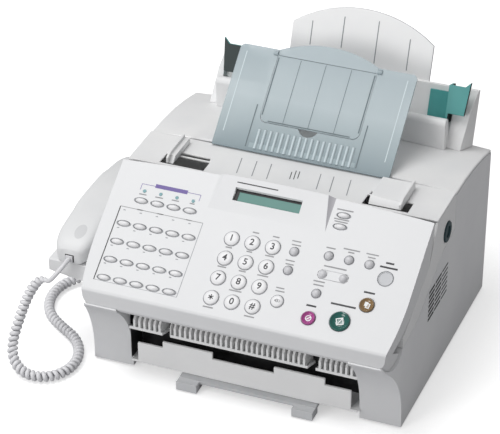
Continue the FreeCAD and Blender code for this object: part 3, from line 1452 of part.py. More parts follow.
def biarc(start, heading, finish, onward):
    """Two tangent arcs from one point and heading to the next."""
    chord, both = finish - start, heading + onward
    spread = 2 * (1 - heading.dot(onward))
    if spread < 1e-9:
        reach = chord.dot(chord) / (4 * chord.dot(onward))
    else:
        reach = (math.sqrt(chord.dot(both) ** 2 + spread * chord.dot(chord)) - chord.dot(both)) / spread
    middle = (start + heading * reach + finish - onward * reach) * 0.5
    return [half_arc(start, heading, middle, True), half_arc(finish, onward * -1, middle, False)]


def handset_cord():
    """Curly cord as one tube of four-sided section, whose area is that of the round wire."""
    curl = Curl(CORD_ROUTE)
    stations = curl.stations()
    points = [curl.point(station) for station in stations]
    headings = [curl.heading(station) for station in stations]
    edges = []
    for index in range(len(points) - 1):
        edges += biarc(points[index], headings[index], points[index + 1], headings[index + 1])
    line = Part.Wire(edges)
    corners = 4
    reach = d.cord_wire.value * math.sqrt(math.pi / (2 * corners * math.sin(2 * math.pi / corners)))
    side = curl.sides[0]
    across = headings[0].cross(side)
    angles = [2 * math.pi * step / corners for step in range(corners)]
    corners = [points[0] + (side * math.cos(turn) + across * math.sin(turn)) * reach for turn in angles]
    tube = line.makePipeShell([Part.makePolygon(corners + corners[:1])], True, False)
    area = math.pi * d.cord_wire.value ** 2 / 4
    print(f"cord: {curl.curls} curls, line {line.Length:.1f} mm, route {curl.length:.1f} mm")
    print(f"cord: volume {tube.Volume:.1f}, section times length {area * line.Length:.1f}")
    print(f"cord: route radii {[round(run[3], 1) for run in curl.runs if run[2] is not None]}")
    print(f"cord: least gap to itself {curl.least_gap():.2f} mm")
    return keep(solid_group("handset_cord", [tube]))


def build():
    base_housing()
    crowned = crowned_block("cover_block", as_size(0))
    top_cover(crowned)
    paper_bin(crowned)
    paper_support()
    paper_guide("paper_guide_left", -1)
    paper_guide("paper_guide_right", 1)
    document_tray(crowned)
    tray_flap()
    exit_cover()
    exit_guide()
    stacker_tray()
    scanner_frame()
    document_chute()
    document_guide("document_guide_left", -1)
    document_guide("document_guide_right", 1)
    scan_sensor()
    release_button()
    control_panel()
    key_caps()
    lcd_window()
    rollers()
    inside_pieces()
    rear_sockets()
    hinge_pins()
    rubber_feet()
    handset_cradle()
    hook_switch()
    handset()
    cord_plugs()
    handset_cord()


def centre_origin():
    """Moves the origin under the middle of the machine, cord and plugs left out."""
    doc.recompute()
    box = FreeCAD.BoundBox()
    for label, thing in nodes.items():
        if not label.startswith(("handset_cord", "cord_plug")):
            box.add(thing.Shape.optimalBoundingBox(False, False))
    for name, middle in (("frame_x", box.Center.x), ("frame_y", box.Center.y)):
        sheet.set(name, repr(round(-middle, 4)))
    doc.recompute()


def check():
    """Stops before anything is written if an object failed or a sub-part has no sound shape."""
    for thing in doc.Objects:
        if "Invalid" in thing.State or "Error" in thing.State:
            raise RuntimeError(f"{thing.Name} ({thing.Label}) failed: {thing.State}")
    for label, thing in nodes.items():
        if thing.Shape.isNull() or not thing.Shape.isValid() or not thing.Shape.Solids:
            raise RuntimeError(f"{label} has no valid solid")


def write():
    os.makedirs("parts", exist_ok=True)
    for label, thing in nodes.items():
        thing.Shape.exportStep(os.path.join("parts", f"{label}.step"))
    print(f"{len(nodes)} sub-parts written")


build()
centre_origin()
check()
write()
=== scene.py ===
# %% [markdown]
# A desktop fax machine with a key panel, a smoky document tray and a handset on a curly cord.
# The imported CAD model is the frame: it gives the main places and sizes, and this lesson dresses it.

# %% Load the frame
import json
import math

import bmesh
import bpy
from mathutils import Matrix, Vector
from mathutils.bvhtree import BVHTree

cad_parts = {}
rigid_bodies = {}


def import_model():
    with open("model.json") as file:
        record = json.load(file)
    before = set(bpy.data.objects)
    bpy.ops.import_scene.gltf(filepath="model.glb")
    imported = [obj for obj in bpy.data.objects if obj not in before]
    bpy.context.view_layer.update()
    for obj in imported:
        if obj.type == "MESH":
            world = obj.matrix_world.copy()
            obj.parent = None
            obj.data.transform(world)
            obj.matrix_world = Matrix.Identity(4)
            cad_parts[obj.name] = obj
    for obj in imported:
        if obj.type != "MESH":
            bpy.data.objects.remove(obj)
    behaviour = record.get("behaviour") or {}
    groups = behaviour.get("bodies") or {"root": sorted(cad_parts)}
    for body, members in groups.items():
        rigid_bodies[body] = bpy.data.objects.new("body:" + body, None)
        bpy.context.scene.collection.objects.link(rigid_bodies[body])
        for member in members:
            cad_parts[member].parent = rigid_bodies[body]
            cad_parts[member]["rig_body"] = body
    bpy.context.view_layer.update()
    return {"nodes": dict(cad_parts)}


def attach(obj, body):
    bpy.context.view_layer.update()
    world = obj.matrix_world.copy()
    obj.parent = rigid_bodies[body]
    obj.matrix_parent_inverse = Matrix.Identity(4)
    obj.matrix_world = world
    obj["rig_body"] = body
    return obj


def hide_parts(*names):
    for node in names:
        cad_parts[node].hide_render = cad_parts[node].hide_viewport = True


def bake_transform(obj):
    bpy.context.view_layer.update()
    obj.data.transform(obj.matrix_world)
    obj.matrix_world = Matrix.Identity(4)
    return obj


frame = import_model()
nodes = frame["nodes"]
MM = 0.001
print(f"{len(nodes)} pieces came with the frame")

# %% [markdown]
# The camera comes first, because everything is judged through it.
# A long lens far away gives the flat look of a catalogue picture. Its direction is an azimuth round
# the object and an elevation above the table, and a small roll sets the horizon straight.

# %% Camera
EYE = Vector((0.76712, -1.95049, 1.45258))
AZIMUTH = math.radians(21.98)
ELEVATION = math.radians(32.483)
ROLL = math.radians(-0.3955)
LENS_MM = 185.64
SENSOR_MM = 36

back = Vector((math.sin(AZIMUTH) * math.cos(ELEVATION),
               -math.cos(AZIMUTH) * math.cos(ELEVATION), math.sin(ELEVATION)))
level = Vector((math.cos(AZIMUTH), math.sin(AZIMUTH), 0))
upright = back.cross(level)
camera_right = level * math.cos(ROLL) + upright * math.sin(ROLL)
camera_up = upright * math.cos(ROLL) - level * math.sin(ROLL)

camera = bpy.data.objects.new("camera", bpy.data.cameras.new("camera"))
camera.data.lens = LENS_MM
camera.data.sensor_width = SENSOR_MM
camera.data.clip_end = 100
camera.matrix_world = Matrix.Translation(EYE) @ Matrix(
    (camera_right, camera_up, back)).transposed().to_4x4()
bpy.context.scene.collection.objects.link(camera)
bpy.context.scene.camera = camera
print("camera stands at", tuple(round(c, 3) for c in EYE))

# %% [markdown]
# A mesh piece is put together in a bmesh and then made an object at the origin.
# One helper does that, gives it a material and says which moving body carries it.


# %% Making a piece
def make_piece(name, bm, material, body, smooth_below=35):
    """Turns a bmesh into an object that rides on a body, smooth except at edges sharper than an angle."""
    mesh = bpy.data.meshes.new(name)
    bm.to_mesh(mesh)
    bm.free()
    mesh.shade_smooth()
    mesh.set_sharp_from_angle(angle=math.radians(smooth_below))
    piece = bpy.data.objects.new(name, mesh)
    bpy.context.scene.collection.objects.link(piece)
    mesh.materials.append(material)
    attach(piece, body)
    return piece


def body_of_node(node):
    return nodes[node]["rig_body"]


def ease(share):
    """Goes from 0 to 1 with a soft start and a soft end."""
    share = min(max(share, 0), 1)
    return share * share * (3 - 2 * share)


# %% [markdown]
# Moulded plastic is never one flat colour. Its mould was spark eroded, which leaves a fine grain,
# and its colour drifts a little over the part. A noise texture on Object coordinates gives both:
# a fine one drives the bump and a broad one mixes two near colours and moves the roughness.


# %% Moulded plastic
DRIFT_SCALE, DRIFT_DETAIL, DRIFT_LOW, DRIFT_HIGH = 26, 3, 0.35, 0.65
POLISH_SPREAD, GRAIN_DETAIL, GRAIN_HEIGHT = 0.05, 2, 0.0002


def moulded_plastic(name, light, dark, roughness, grain=1400, depth=0.06, alpha=1.0, coat=0.0):
    """A plastic whose colour drifts between two near tones, with a fine grain from its mould."""
    material = bpy.data.materials.new(name)
    material.use_nodes = True
    tree = material.node_tree
    shader = tree.nodes["Principled BSDF"]
    place = tree.nodes.new("ShaderNodeTexCoord")
    broad = tree.nodes.new("ShaderNodeTexNoise")
    broad.inputs["Scale"].default_value = DRIFT_SCALE
    broad.inputs["Detail"].default_value = DRIFT_DETAIL
    drift = tree.nodes.new("ShaderNodeValToRGB")
    drift.color_ramp.elements[0].position = DRIFT_LOW
    drift.color_ramp.elements[0].color = (*dark, 1)
    drift.color_ramp.elements[1].position = DRIFT_HIGH
    drift.color_ramp.elements[1].color = (*light, 1)
    polish = tree.nodes.new("ShaderNodeMapRange")
    polish.inputs["To Min"].default_value = roughness - POLISH_SPREAD
    polish.inputs["To Max"].default_value = roughness + POLISH_SPREAD
    fine = tree.nodes.new("ShaderNodeTexNoise")
    fine.inputs["Scale"].default_value = grain
    fine.inputs["Detail"].default_value = GRAIN_DETAIL
    bump = tree.nodes.new("ShaderNodeBump")
    bump.inputs["Strength"].default_value = depth
    bump.inputs["Distance"].default_value = GRAIN_HEIGHT
    link = tree.links.new
    link(place.outputs["Object"], broad.inputs["Vector"])
    link(place.outputs["Object"], fine.inputs["Vector"])
    link(broad.outputs["Fac"], drift.inputs["Fac"])
    link(broad.outputs["Fac"], polish.inputs["Value"])
    link(drift.outputs["Color"], shader.inputs["Base Color"])
    link(polish.outputs["Result"], shader.inputs["Roughness"])
    link(fine.outputs["Fac"], bump.inputs["Height"])
    link(bump.outputs["Normal"], shader.inputs["Normal"])
    shader.inputs["Alpha"].default_value = alpha
    shader.inputs["Coat Weight"].default_value = coat
    return material


# The base is a little darker than the casing: partly its own greyer tone, partly painted shade, as it lies
# low under the cover and panel.
base_grey_and_shade = moulded_plastic("base_tone_and_painted_shade", (0.75, 0.755, 0.765), (0.72, 0.725, 0.74), 0.48)
casing = moulded_plastic("casing_plastic", (0.80, 0.80, 0.80), (0.765, 0.768, 0.775), 0.48)
panel_white = moulded_plastic("panel_plastic", (0.715, 0.72, 0.73), (0.695, 0.70, 0.712), 0.42)
# The paper support's brighter white is painted light: the support faces the light and is made whiter than the
# casing.
support_lit_white = moulded_plastic("support_painted_light", (0.90, 0.90, 0.90), (0.88, 0.88, 0.885), 0.45)
exit_white = moulded_plastic("exit_plastic", (0.88, 0.88, 0.88), (0.86, 0.862, 0.865), 0.5)
# The stacker's darker grey is painted shade: the stacker lies in shadow.
stacker_shaded_grey = moulded_plastic("stacker_painted_shade", (0.62, 0.63, 0.645), (0.59, 0.60, 0.615), 0.5)
handset_white = moulded_plastic("handset_plastic", (0.74, 0.745, 0.75), (0.715, 0.72, 0.727), 0.45)
# Painted shade for the handset's thumb dish.
dish_shade_grey = moulded_plastic("dish_painted_shade", (0.62, 0.625, 0.635), (0.60, 0.605, 0.615), 0.5)
# Painted shade: the console's flank gets this darker grey because it faces away from the light.
flank_shade_grey = moulded_plastic("flank_painted_shade", (0.40, 0.395, 0.42), (0.38, 0.375, 0.40), 0.5)
smoke = moulded_plastic("smoke_plastic", (0.455, 0.54, 0.575), (0.445, 0.53, 0.565), 0.3,
                        depth=0.03, alpha=0.74)
smoke_ridge = moulded_plastic("smoke_ridges", (0.52, 0.60, 0.63), (0.50, 0.58, 0.61), 0.25, depth=0.02)
smoke_shade = moulded_plastic("smoke_shade", (0.25, 0.32, 0.345), (0.24, 0.31, 0.335), 0.3, depth=0.02)
fin_shade = moulded_plastic("fin_shade", (0.012, 0.03, 0.03), (0.008, 0.02, 0.02), 0.5)
smoke_line = moulded_plastic("smoke_lines", (0.115, 0.15, 0.165), (0.10, 0.135, 0.15), 0.5)
teal = moulded_plastic("teal_plastic", (0.075, 0.33, 0.32), (0.06, 0.29, 0.28), 0.4)
dark_teal = moulded_plastic("release_plastic", (0.012, 0.045, 0.055), (0.008, 0.035, 0.045), 0.5)
key_white = moulded_plastic("key_plastic", (0.78, 0.78, 0.79), (0.75, 0.75, 0.765), 0.35)
small_key_grey = moulded_plastic("small_key_plastic", (0.60, 0.60, 0.62), (0.57, 0.57, 0.59), 0.35)
forward_grey = moulded_plastic("forward_plastic", (0.55, 0.56, 0.58), (0.52, 0.53, 0.55), 0.5)
start_green = moulded_plastic("start_plastic", (0.002, 0.11, 0.09), (0.001, 0.08, 0.066), 0.2,
                              depth=0.02, coat=0.6)
stop_pink = moulded_plastic("stop_plastic", (0.42, 0.06, 0.28), (0.36, 0.045, 0.23), 0.25,
                            depth=0.02, coat=0.6)
copy_gold = moulded_plastic("copy_plastic", (0.27, 0.165, 0.065), (0.22, 0.13, 0.05), 0.2,
                            depth=0.02, coat=0.6)
lamp_tint = moulded_plastic("lamp_plastic", (0.10, 0.28, 0.30), (0.07, 0.22, 0.25), 0.25, depth=0.02)
display_green = moulded_plastic("display_glass", (0.085, 0.235, 0.205), (0.075, 0.215, 0.185), 0.45,
                                depth=0.01)
black = moulded_plastic("black_plastic", (0.02, 0.02, 0.022), (0.012, 0.012, 0.013), 0.55)
board_green = moulded_plastic("board_lacquer", (0.03, 0.16, 0.06), (0.02, 0.12, 0.045), 0.4)
cord_white = moulded_plastic("cord_vinyl", (0.74, 0.74, 0.76), (0.70, 0.70, 0.72), 0.36, depth=0.03)
ink = moulded_plastic("printed_ink", (0.06, 0.06, 0.065), (0.04, 0.04, 0.045), 0.6)
soft_ink = moulded_plastic("pale_ink", (0.33, 0.33, 0.34), (0.29, 0.29, 0.30), 0.6)
violet_ink = moulded_plastic("violet_ink", (0.16, 0.11, 0.36), (0.14, 0.095, 0.32), 0.5)
white_ink = moulded_plastic("white_ink", (0.86, 0.88, 0.88), (0.82, 0.85, 0.85), 0.5)
# A grey for lines and numbers on the parts, also used as painted shade on the paper support's rim and in the
# gaps round the keys.
line_and_shade_grey = moulded_plastic("line_and_painted_shade", (0.30, 0.31, 0.33), (0.26, 0.27, 0.29), 0.6)

# %% [markdown]
# The smoky plastic is made darker at the tray's foot and top edge and lighter across the middle.
# A ramp over the height of the tray in Object coordinates replaces the plain drift there.

# %% Smoky tray
TRAY_FOOT, TRAY_TOP = 0.175, 0.252
SMOKE_FOOT, SMOKE_TOP = (0.22, 0.29, 0.32, 1), (0.40, 0.48, 0.515, 1)
SMOKE_STEPS = ((0.2, (0.33, 0.41, 0.44, 1)), (0.5, (0.48, 0.56, 0.59, 1)), (0.85, (0.39, 0.47, 0.505, 1)))
smoke_tree = smoke.node_tree
smoke_place = smoke_tree.nodes.new("ShaderNodeTexCoord")
smoke_axes = smoke_tree.nodes.new("ShaderNodeSeparateXYZ")
smoke_height = smoke_tree.nodes.new("ShaderNodeMapRange")
smoke_height.inputs["From Min"].default_value = TRAY_FOOT
smoke_height.inputs["From Max"].default_value = TRAY_TOP
smoke_ramp = smoke_tree.nodes.new("ShaderNodeValToRGB")
smoke_ramp.color_ramp.elements[0].color = SMOKE_FOOT
smoke_ramp.color_ramp.elements[1].color = SMOKE_TOP
for place, tone in SMOKE_STEPS:
    smoke_ramp.color_ramp.elements.new(place).color = tone
smoke_tree.links.new(smoke_place.outputs["Object"], smoke_axes.inputs["Vector"])
smoke_tree.links.new(smoke_axes.outputs["Z"], smoke_height.inputs["Value"])
smoke_tree.links.new(smoke_height.outputs["Result"], smoke_ramp.inputs["Fac"])
smoke_tree.links.new(smoke_ramp.outputs["Color"], smoke_tree.nodes["Principled BSDF"].inputs["Base Color"])

# %% [markdown]
# Rubber is darker, rougher and coarser than plastic. Steel takes the same recipe with a metal surface.

# %% Rubber and steel
rubber = moulded_plastic("rubber", (0.05, 0.05, 0.05), (0.03, 0.03, 0.032), 0.8, grain=700, depth=0.2)
steel = moulded_plastic("steel", (0.52, 0.52, 0.53), (0.44, 0.44, 0.45), 0.35, grain=500, depth=0.05)
steel.node_tree.nodes["Principled BSDF"].inputs["Metallic"].default_value = 1.0

# %% [markdown]
# Every CAD node that stays gets one of these finishes in place of the plain one it came with.


# %% Finish of every node
def dress(material, *names):
    for name in names:
        nodes[name].data.materials.clear()
        nodes[name].data.materials.append(material)


dress(base_grey_and_shade, "base_housing")
dress(support_lit_white, "paper_support")
dress(casing, "top_cover", "paper_bin", "scanner_frame", "document_chute",
      "document_guide_left", "document_guide_right", "handset_cradle", "hook_switch")
dress(handset_white, "handset")
dress(stacker_shaded_grey, "stacker_tray")
dress(panel_white, "control_panel")
dress(exit_white, "exit_cover", "exit_guide")
dress(smoke, "document_tray", "tray_flap")
dress(teal, "paper_guide_left", "paper_guide_right")
dress(dark_teal, "release_button")
dress(small_key_grey, "function_keys", "scroll_rocker")
dress(key_white, "one_touch_keys", "mode_keys", "speaker_key",
      *[name for name in nodes if name.startswith("key_")])
dress(start_green, "start_key")
dress(stop_pink, "stop_key")
dress(copy_gold, "copy_key")
dress(forward_grey, "forward_key")
dress(lamp_tint, "status_lamps")
dress(display_green, "lcd_window")
dress(black, "toner_cartridge", "fuser_unit", "laser_unit", "rear_sockets", "scan_sensor")
dress(board_green, "main_board")
dress(steel, "hinge_pins", "drive_motor")
dress(rubber, "rubber_feet", "scan_roller", "feed_roller", "pickup_roller", "exit_rollers")
dress(cord_white, "handset_cord", "cord_plug_handset", "cord_plug_base")

# %% [markdown]
# The CAD pieces have knife edges, and nothing moulded does. A merged copy of a piece is rounded by a
# bevel along its sharp edges, and the copy is shown in place of the piece.


# %% Rounded casing pieces
def even_shading(piece):
    """Lets big flat faces set the shading at their corners, so that they look flat next to round edges."""
    weights = piece.modifiers.new("weights", "WEIGHTED_NORMAL")
    weights.keep_sharp = True
    plain = piece.data
    ready = piece.evaluated_get(bpy.context.evaluated_depsgraph_get())
    piece.data = bpy.data.meshes.new_from_object(ready)
    piece.modifiers.remove(weights)
    bpy.data.meshes.remove(plain)


WELD = 0.002 * MM
FLAT_WITHIN = math.radians(0.6)
WALL_TURN = 0.5
VENT_LOW, VENT_HIGH = Vector((172.0, -68, 69)) * MM, Vector((179.7, 30, 103)) * MM


def close_vents(bm):
    """Takes the walls of the side slots out and fills what stays open, so that the slots can be set anew as
    flat bars of painted shade.
    """
    walls = [face for face in bm.faces
             if all(VENT_LOW[n] < face.calc_center_median()[n] < VENT_HIGH[n] for n in range(3))
             and abs(face.normal.x) < WALL_TURN]
    bmesh.ops.delete(bm, geom=walls, context="FACES")
    bmesh.ops.holes_fill(bm, edges=[edge for edge in bm.edges if edge.is_boundary], sides=0)
    bmesh.ops.recalc_face_normals(bm, faces=bm.faces)
    print(len(walls), "slot walls closed")


TONGUE_ROOM = 0.3 * MM


def shorten_tongue(bm):
    """Takes a little off the inner end of a guide's tongue, so that it stops short of its slot's end."""
    foot = min(vert.co.z for vert in bm.verts)
    inner = min((vert.co.x for vert in bm.verts if vert.co.z < foot + TONGUE_ROOM), key=abs)
    for vert in bm.verts:
        if abs(vert.co.x - inner) < TONGUE_ROOM / 10:
            vert.co.x += math.copysign(TONGUE_ROOM, inner)


def soft_copy(node, material, radius, segments=2, sharper_than=30):
    """A merged copy of a CAD piece whose sharp edges are rounded, shown in its place."""
    bm = bmesh.new()
    bm.from_mesh(nodes[node].data)
    bmesh.ops.remove_doubles(bm, verts=bm.verts, dist=WELD)
    if node == "base_housing":
        close_vents(bm)
    if node.startswith("document_guide"):
        shorten_tongue(bm)
    bmesh.ops.dissolve_limit(bm, angle_limit=FLAT_WITHIN, verts=bm.verts, edges=bm.edges)
    sharp = [edge for edge in bm.edges
             if edge.is_convex and edge.calc_face_angle(0) > math.radians(sharper_than)]
    bmesh.ops.bevel(bm, geom=sharp, offset=radius * MM, offset_type="OFFSET", segments=segments,
                    profile=0.5, affect="EDGES", clamp_overlap=True, material=-1)
    piece = make_piece(f"{node}_moulding", bm, material, body_of_node(node), smooth_below=60)
    even_shading(piece)
    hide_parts(node)
    print(node, len(sharp), "edges rounded,", len(piece.data.polygons), "faces")
    return piece


mouldings = {}
for node, finish, radius in (
        ("base_housing", base_grey_and_shade, 1.2), ("top_cover", casing, 1.4), ("paper_bin", casing, 1.0),
        ("scanner_frame", casing, 1.0), ("document_chute", casing, 0.8), ("handset_cradle", casing, 2.0),
        ("document_guide_left", casing, 0.6), ("document_guide_right", casing, 0.6),
        ("stacker_tray", stacker_shaded_grey, 0.8), ("exit_cover", exit_white, 0.8),
        ("control_panel", panel_white, 0.8), ("release_button", dark_teal, 0.8),
        ("paper_guide_left", teal, 0.6), ("paper_guide_right", teal, 0.6),
        ("paper_support", support_lit_white, 0.6)):
    mouldings[node] = soft_copy(node, finish, radius)

# %% [markdown]
# What is printed or set on a sloping face is drawn in that face's own frame: across, along the slope,
# and out. A ray from above finds the skin of the piece, so that ink lies on it wherever it is.

# %% Frames of sloping faces
INK_LIFT = 0.08 * MM
PROBE = 60 * MM


def face_frame(edge, slope):
    """The frame of a face that slopes up to the rear, from a point on it in mm and degrees."""
    slope = math.radians(slope)
    axes = (Vector((1, 0, 0)), Vector((0, math.cos(slope), math.sin(slope))),
            Vector((0, -math.sin(slope), math.cos(slope))))
    return Matrix.Translation(Vector(edge) * MM) @ Matrix(axes).transposed().to_4x4()


def skin_tree(node, face):
    mesh = nodes[node].data
    return BVHTree.FromPolygons([face.inverted() @ v.co for v in mesh.vertices],
                                [p.vertices for p in mesh.polygons])


def skin_level(tree, across, along):
    """How far a skin stands out of its frame's base plane."""
    hit = tree.ray_cast(Vector((across, along, PROBE)), Vector((0, 0, -1)))[0]
    return hit.z if hit else 0.0


def spot(across, along, out=0.0, turn=0.0):
    """A place on a face, in millimetres and degrees."""
    return (Matrix.Translation(Vector((across, along, out)) * MM)
            @ Matrix.Rotation(math.radians(turn), 4, "Z"))


def add_bar(bm, across, along, width, depth, turn=0.0):
    """A flat bar of ink, drawn in the frame of a face."""
    size = Matrix.Diagonal((width * MM / 2, depth * MM / 2, 1, 1))
    bmesh.ops.create_grid(bm, x_segments=1, y_segments=1, size=1,
                          matrix=spot(across, along, turn=turn) @ size)


def print_bars(name, node, face, tree, bars, material):
    """Lays bars of ink on a node's skin. A bar is across, along, width, depth and perhaps a turn."""
    bm = bmesh.new()
    for bar in bars:
        add_bar(bm, *bar)
    for vert in bm.verts:
        vert.co.z = skin_level(tree, vert.co.x, vert.co.y) + INK_LIFT
    bm.transform(face)
    return make_piece(name, bm, material, body_of_node(node))


PANEL_SLOPE = 33
PANEL_EDGE = (23.75, -158.69, 104.4)
panel_frame = face_frame(PANEL_EDGE, PANEL_SLOPE)
to_panel = panel_frame.inverted()
panel_tree = skin_tree("control_panel", panel_frame)


def panel_level(across, along):
    return skin_level(panel_tree, across, along)


def print_on_panel(name, bars, material):
    return print_bars(name, "control_panel", panel_frame, panel_tree, bars, material)


print("panel skin at the keypad is", round(panel_level(0, 50 * MM) / MM, 2), "mm out")

# %% [markdown]
# Some faces of a moulding get a darker second tone of painted shade: the console's flank on the panel, which
# faces away from the light, the rim of the paper support, and the shaded inner sides of the paper guides'
# fins.


# %% Faces of painted shade
def tint_faces(node, material, chosen):
    """Gives a second material to those faces of a moulding that a test on normal and middle picks."""
    mesh = mouldings[node].data
    mesh.materials.append(material)
    picked = [face for face in mesh.polygons if chosen(face.normal, face.center)]
    for face in picked:
        face.material_index = len(mesh.materials) - 1
    print(node, len(picked), "faces of a second tone")


CONSOLE_LEFT, CONSOLE_RIGHT, CONSOLE_FRONT = 25 * MM, 72 * MM, 55 * MM
FIN_FOOT = 196 * MM
FLANK_TURN, RIM_TURN, FIN_TURN = 0.25, 0.5, 0.3
SUPPORT_FRONT = Vector((0, -math.sin(math.radians(70)), math.cos(math.radians(70))))


def is_console_flank(normal, middle):
    place = to_panel @ middle
    return normal.x > FLANK_TURN and CONSOLE_LEFT < place.x < CONSOLE_RIGHT and place.y > CONSOLE_FRONT


# Painted shade on the console's flank.
tint_faces("control_panel", flank_shade_grey, is_console_flank)
# Painted shade: the rim of the paper support is darkened as if it lay in shade.
tint_faces("paper_support", line_and_shade_grey, lambda normal, middle: abs(normal.dot(SUPPORT_FRONT)) < RIM_TURN)
tint_faces("paper_guide_left", fin_shade,
           lambda normal, middle: normal.y < -FIN_TURN and middle.z > FIN_FOOT)
tint_faces("paper_guide_right", fin_shade, lambda normal, middle: normal.x > FIN_TURN)

# %% [markdown]
# A key is a turned form: a profile of radii and heights is spun once round its axis and then stretched
# to the key's own width and depth. The CAD keys have few sides, and their boxes give place and size.


# %% Turned keys
def turned(profile, segments):
    """A profile of (radius, height) pairs spun once round the upright axis."""
    bm = bmesh.new()
    line = [bm.verts.new((radius, 0, height)) for radius, height in profile]
    edges = [bm.edges.new(pair) for pair in zip(line, line[1:])]
    bmesh.ops.spin(bm, geom=line + edges, cent=(0, 0, 0), axis=(0, 0, 1), angle=2 * math.pi,
                   steps=segments, use_merge=True)
    bmesh.ops.remove_doubles(bm, verts=bm.verts, dist=0.0001)
    bmesh.ops.recalc_face_normals(bm, faces=bm.faces)
    return bm


def add_part(bm, part):
    """Moves a finished bmesh into another one."""
    mesh = bpy.data.meshes.new("part")
    part.to_mesh(mesh)
    part.free()
    bm.from_mesh(mesh)
    bpy.data.meshes.remove(mesh)


def key_boxes(node):
    """Low and high corner of each separate key of a node, in the panel's own frame."""
    bm = bmesh.new()
    bm.from_mesh(nodes[node].data)
    bm.transform(to_panel)
    bmesh.ops.remove_doubles(bm, verts=bm.verts, dist=WELD)
    loose = set(bm.verts)
    boxes = []
    while loose:
        island = [loose.pop()]
        for vert in island:
            for edge in vert.link_edges:
                other = edge.other_vert(vert)
                if other in loose:
                    loose.discard(other)
                    island.append(other)
        boxes.append((Vector([min(v.co[n] for v in island) for n in range(3)]),
                      Vector([max(v.co[n] for v in island) for n in range(3)])))
    bm.free()
    return sorted(boxes, key=lambda box: (round(box[0].y, 4), box[0].x))


FLAT_TOP = [(1, 0), (1, 0.70), (0.985, 0.80), (0.945, 0.89), (0.88, 0.94), (0.6, 0.985), (0.3, 1), (0, 1)]
LENS = [(1, 0), (1, 0.52), (0.97, 0.62), (0.86, 0.78), (0.68, 0.90), (0.45, 0.97), (0.2, 1), (0, 1)]
BOWL = [(1, 0), (1, 0.82), (0.97, 0.94), (0.92, 1), (0.87, 0.97), (0.80, 0.84), (0.66, 0.70),
        (0.45, 0.62), (0.2, 0.58), (0, 0.58)]
DISH = [(1, 0), (1, 0.62), (0.98, 0.70), (0.90, 0.70), (0.87, 0.62), (0.5, 0.6), (0, 0.6)]
KEY_TRIM = 0.975
RIM_PLAY, RIM_WIDTH, RIM_LIFT = 0.28 * MM, 0.75 * MM, 0.05 * MM

# The dark ring in the gap round each key is painted shade, standing for the shadow of the key's side.
GAP_SHADE_WIDTH = 0.45 * MM

rims_bm = bmesh.new()
gap_shade_bm = bmesh.new()


def turned_keys(node, material, profile, taller=0.0, segments=40):
    """Round keys in the places of a node's CAD keys, with a ring on the panel that frames each one and a thin
    dark ring of painted shade in the gap round each key.
    """
    bm = bmesh.new()
    for low, high in key_boxes(node):
        middle, reach = (low + high) / 2, (high - low) / 2
        part = turned(profile, segments)
        part.transform(Matrix.Translation((middle.x, middle.y, low.z)) @ Matrix.Diagonal(
            (reach.x * KEY_TRIM, reach.y * KEY_TRIM, high.z - low.z + taller * MM, 1)))
        add_part(bm, part)
        inner = Vector((reach.x * KEY_TRIM + RIM_PLAY, reach.y * KEY_TRIM + RIM_PLAY))
        wide = 1 + RIM_WIDTH / min(inner)
        ring = turned([(1, 0), (wide, 0)], segments)
        ring.transform(Matrix.Translation((middle.x, middle.y, 0))
                       @ Matrix.Diagonal((inner.x, inner.y, 1, 1)))
        level = panel_level(middle.x + inner.x * wide, middle.y)
        for vert in ring.verts:
            vert.co.z = level + RIM_LIFT
        add_part(rims_bm, ring)
        gap = turned([(1, 0), (1 + GAP_SHADE_WIDTH / min(inner), 0)], segments)
        gap.transform(Matrix.Translation((middle.x, middle.y, level + 2 * RIM_LIFT))
                      @ Matrix.Diagonal((inner.x, inner.y, 1, 1)))
        add_part(gap_shade_bm, gap)
    bm.transform(panel_frame)
    piece = make_piece(f"{node}_caps", bm, material, body_of_node(node), smooth_below=50)
    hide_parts(node)
    return piece


digit_keys = [name for name in nodes if name.startswith("key_")]
for node in digit_keys:
    turned_keys(node, key_white, FLAT_TOP)
turned_keys("speaker_key", key_white, FLAT_TOP)
for node in ("one_touch_keys", "mode_keys"):
    turned_keys(node, key_white, LENS, taller=0.4)
turned_keys("function_keys", small_key_grey, LENS, taller=1.2, segments=28)
turned_keys("start_key", start_green, BOWL)
turned_keys("stop_key", stop_pink, BOWL)
turned_keys("copy_key", copy_gold, BOWL)
turned_keys("forward_key", forward_grey, DISH)
rims_bm.transform(panel_frame)
make_piece("key_rims", rims_bm, panel_white, body_of_node("control_panel"))
gap_shade_bm.transform(panel_frame)
make_piece("key_gap_painted_shade", gap_shade_bm, line_and_shade_grey, body_of_node("control_panel"))
print(len(digit_keys), "digit keys turned")

# %% [markdown]
# The rocker is one long plate that tips in the middle, with a dome at each end. The plate is a box whose
# upright edges are rounded until it has half-round ends.

# %% Scroll rocker
ROCKER_DOME, ROCKER_PROUD, ROCKER_RISE = 4.2 * MM, 0.15 * MM, 1.2 * MM
ROCKER_ASIDE, DOME_MARGIN, ROCKER_ROUND = 2 * MM, 0.3 * MM, 0.98
rocker_low, rocker_high = key_boxes("scroll_rocker")[0]
rocker_middle, rocker_reach = (rocker_low + rocker_high) / 2, (rocker_high - rocker_low) / 2
rocker_skin = panel_level(rocker_middle.x, rocker_low.y - ROCKER_ASIDE) + ROCKER_PROUD
plate_bm = bmesh.new()
bmesh.ops.create_cube(plate_bm, size=1)
plate_bm.transform(Matrix.Translation((rocker_middle.x, rocker_middle.y, (rocker_low.z + rocker_skin) / 2))
                   @ Matrix.Diagonal((2 * rocker_reach.x, 2 * rocker_reach.y, rocker_skin - rocker_low.z, 1)))
bmesh.ops.bevel(plate_bm, geom=[edge for edge in plate_bm.edges
                                if abs(edge.verts[0].co.z - edge.verts[1].co.z) > MM],
                offset=rocker_reach.y * ROCKER_ROUND, offset_type="OFFSET", segments=10, profile=0.5,
                affect="EDGES", material=-1)
plate_bm.transform(panel_frame)
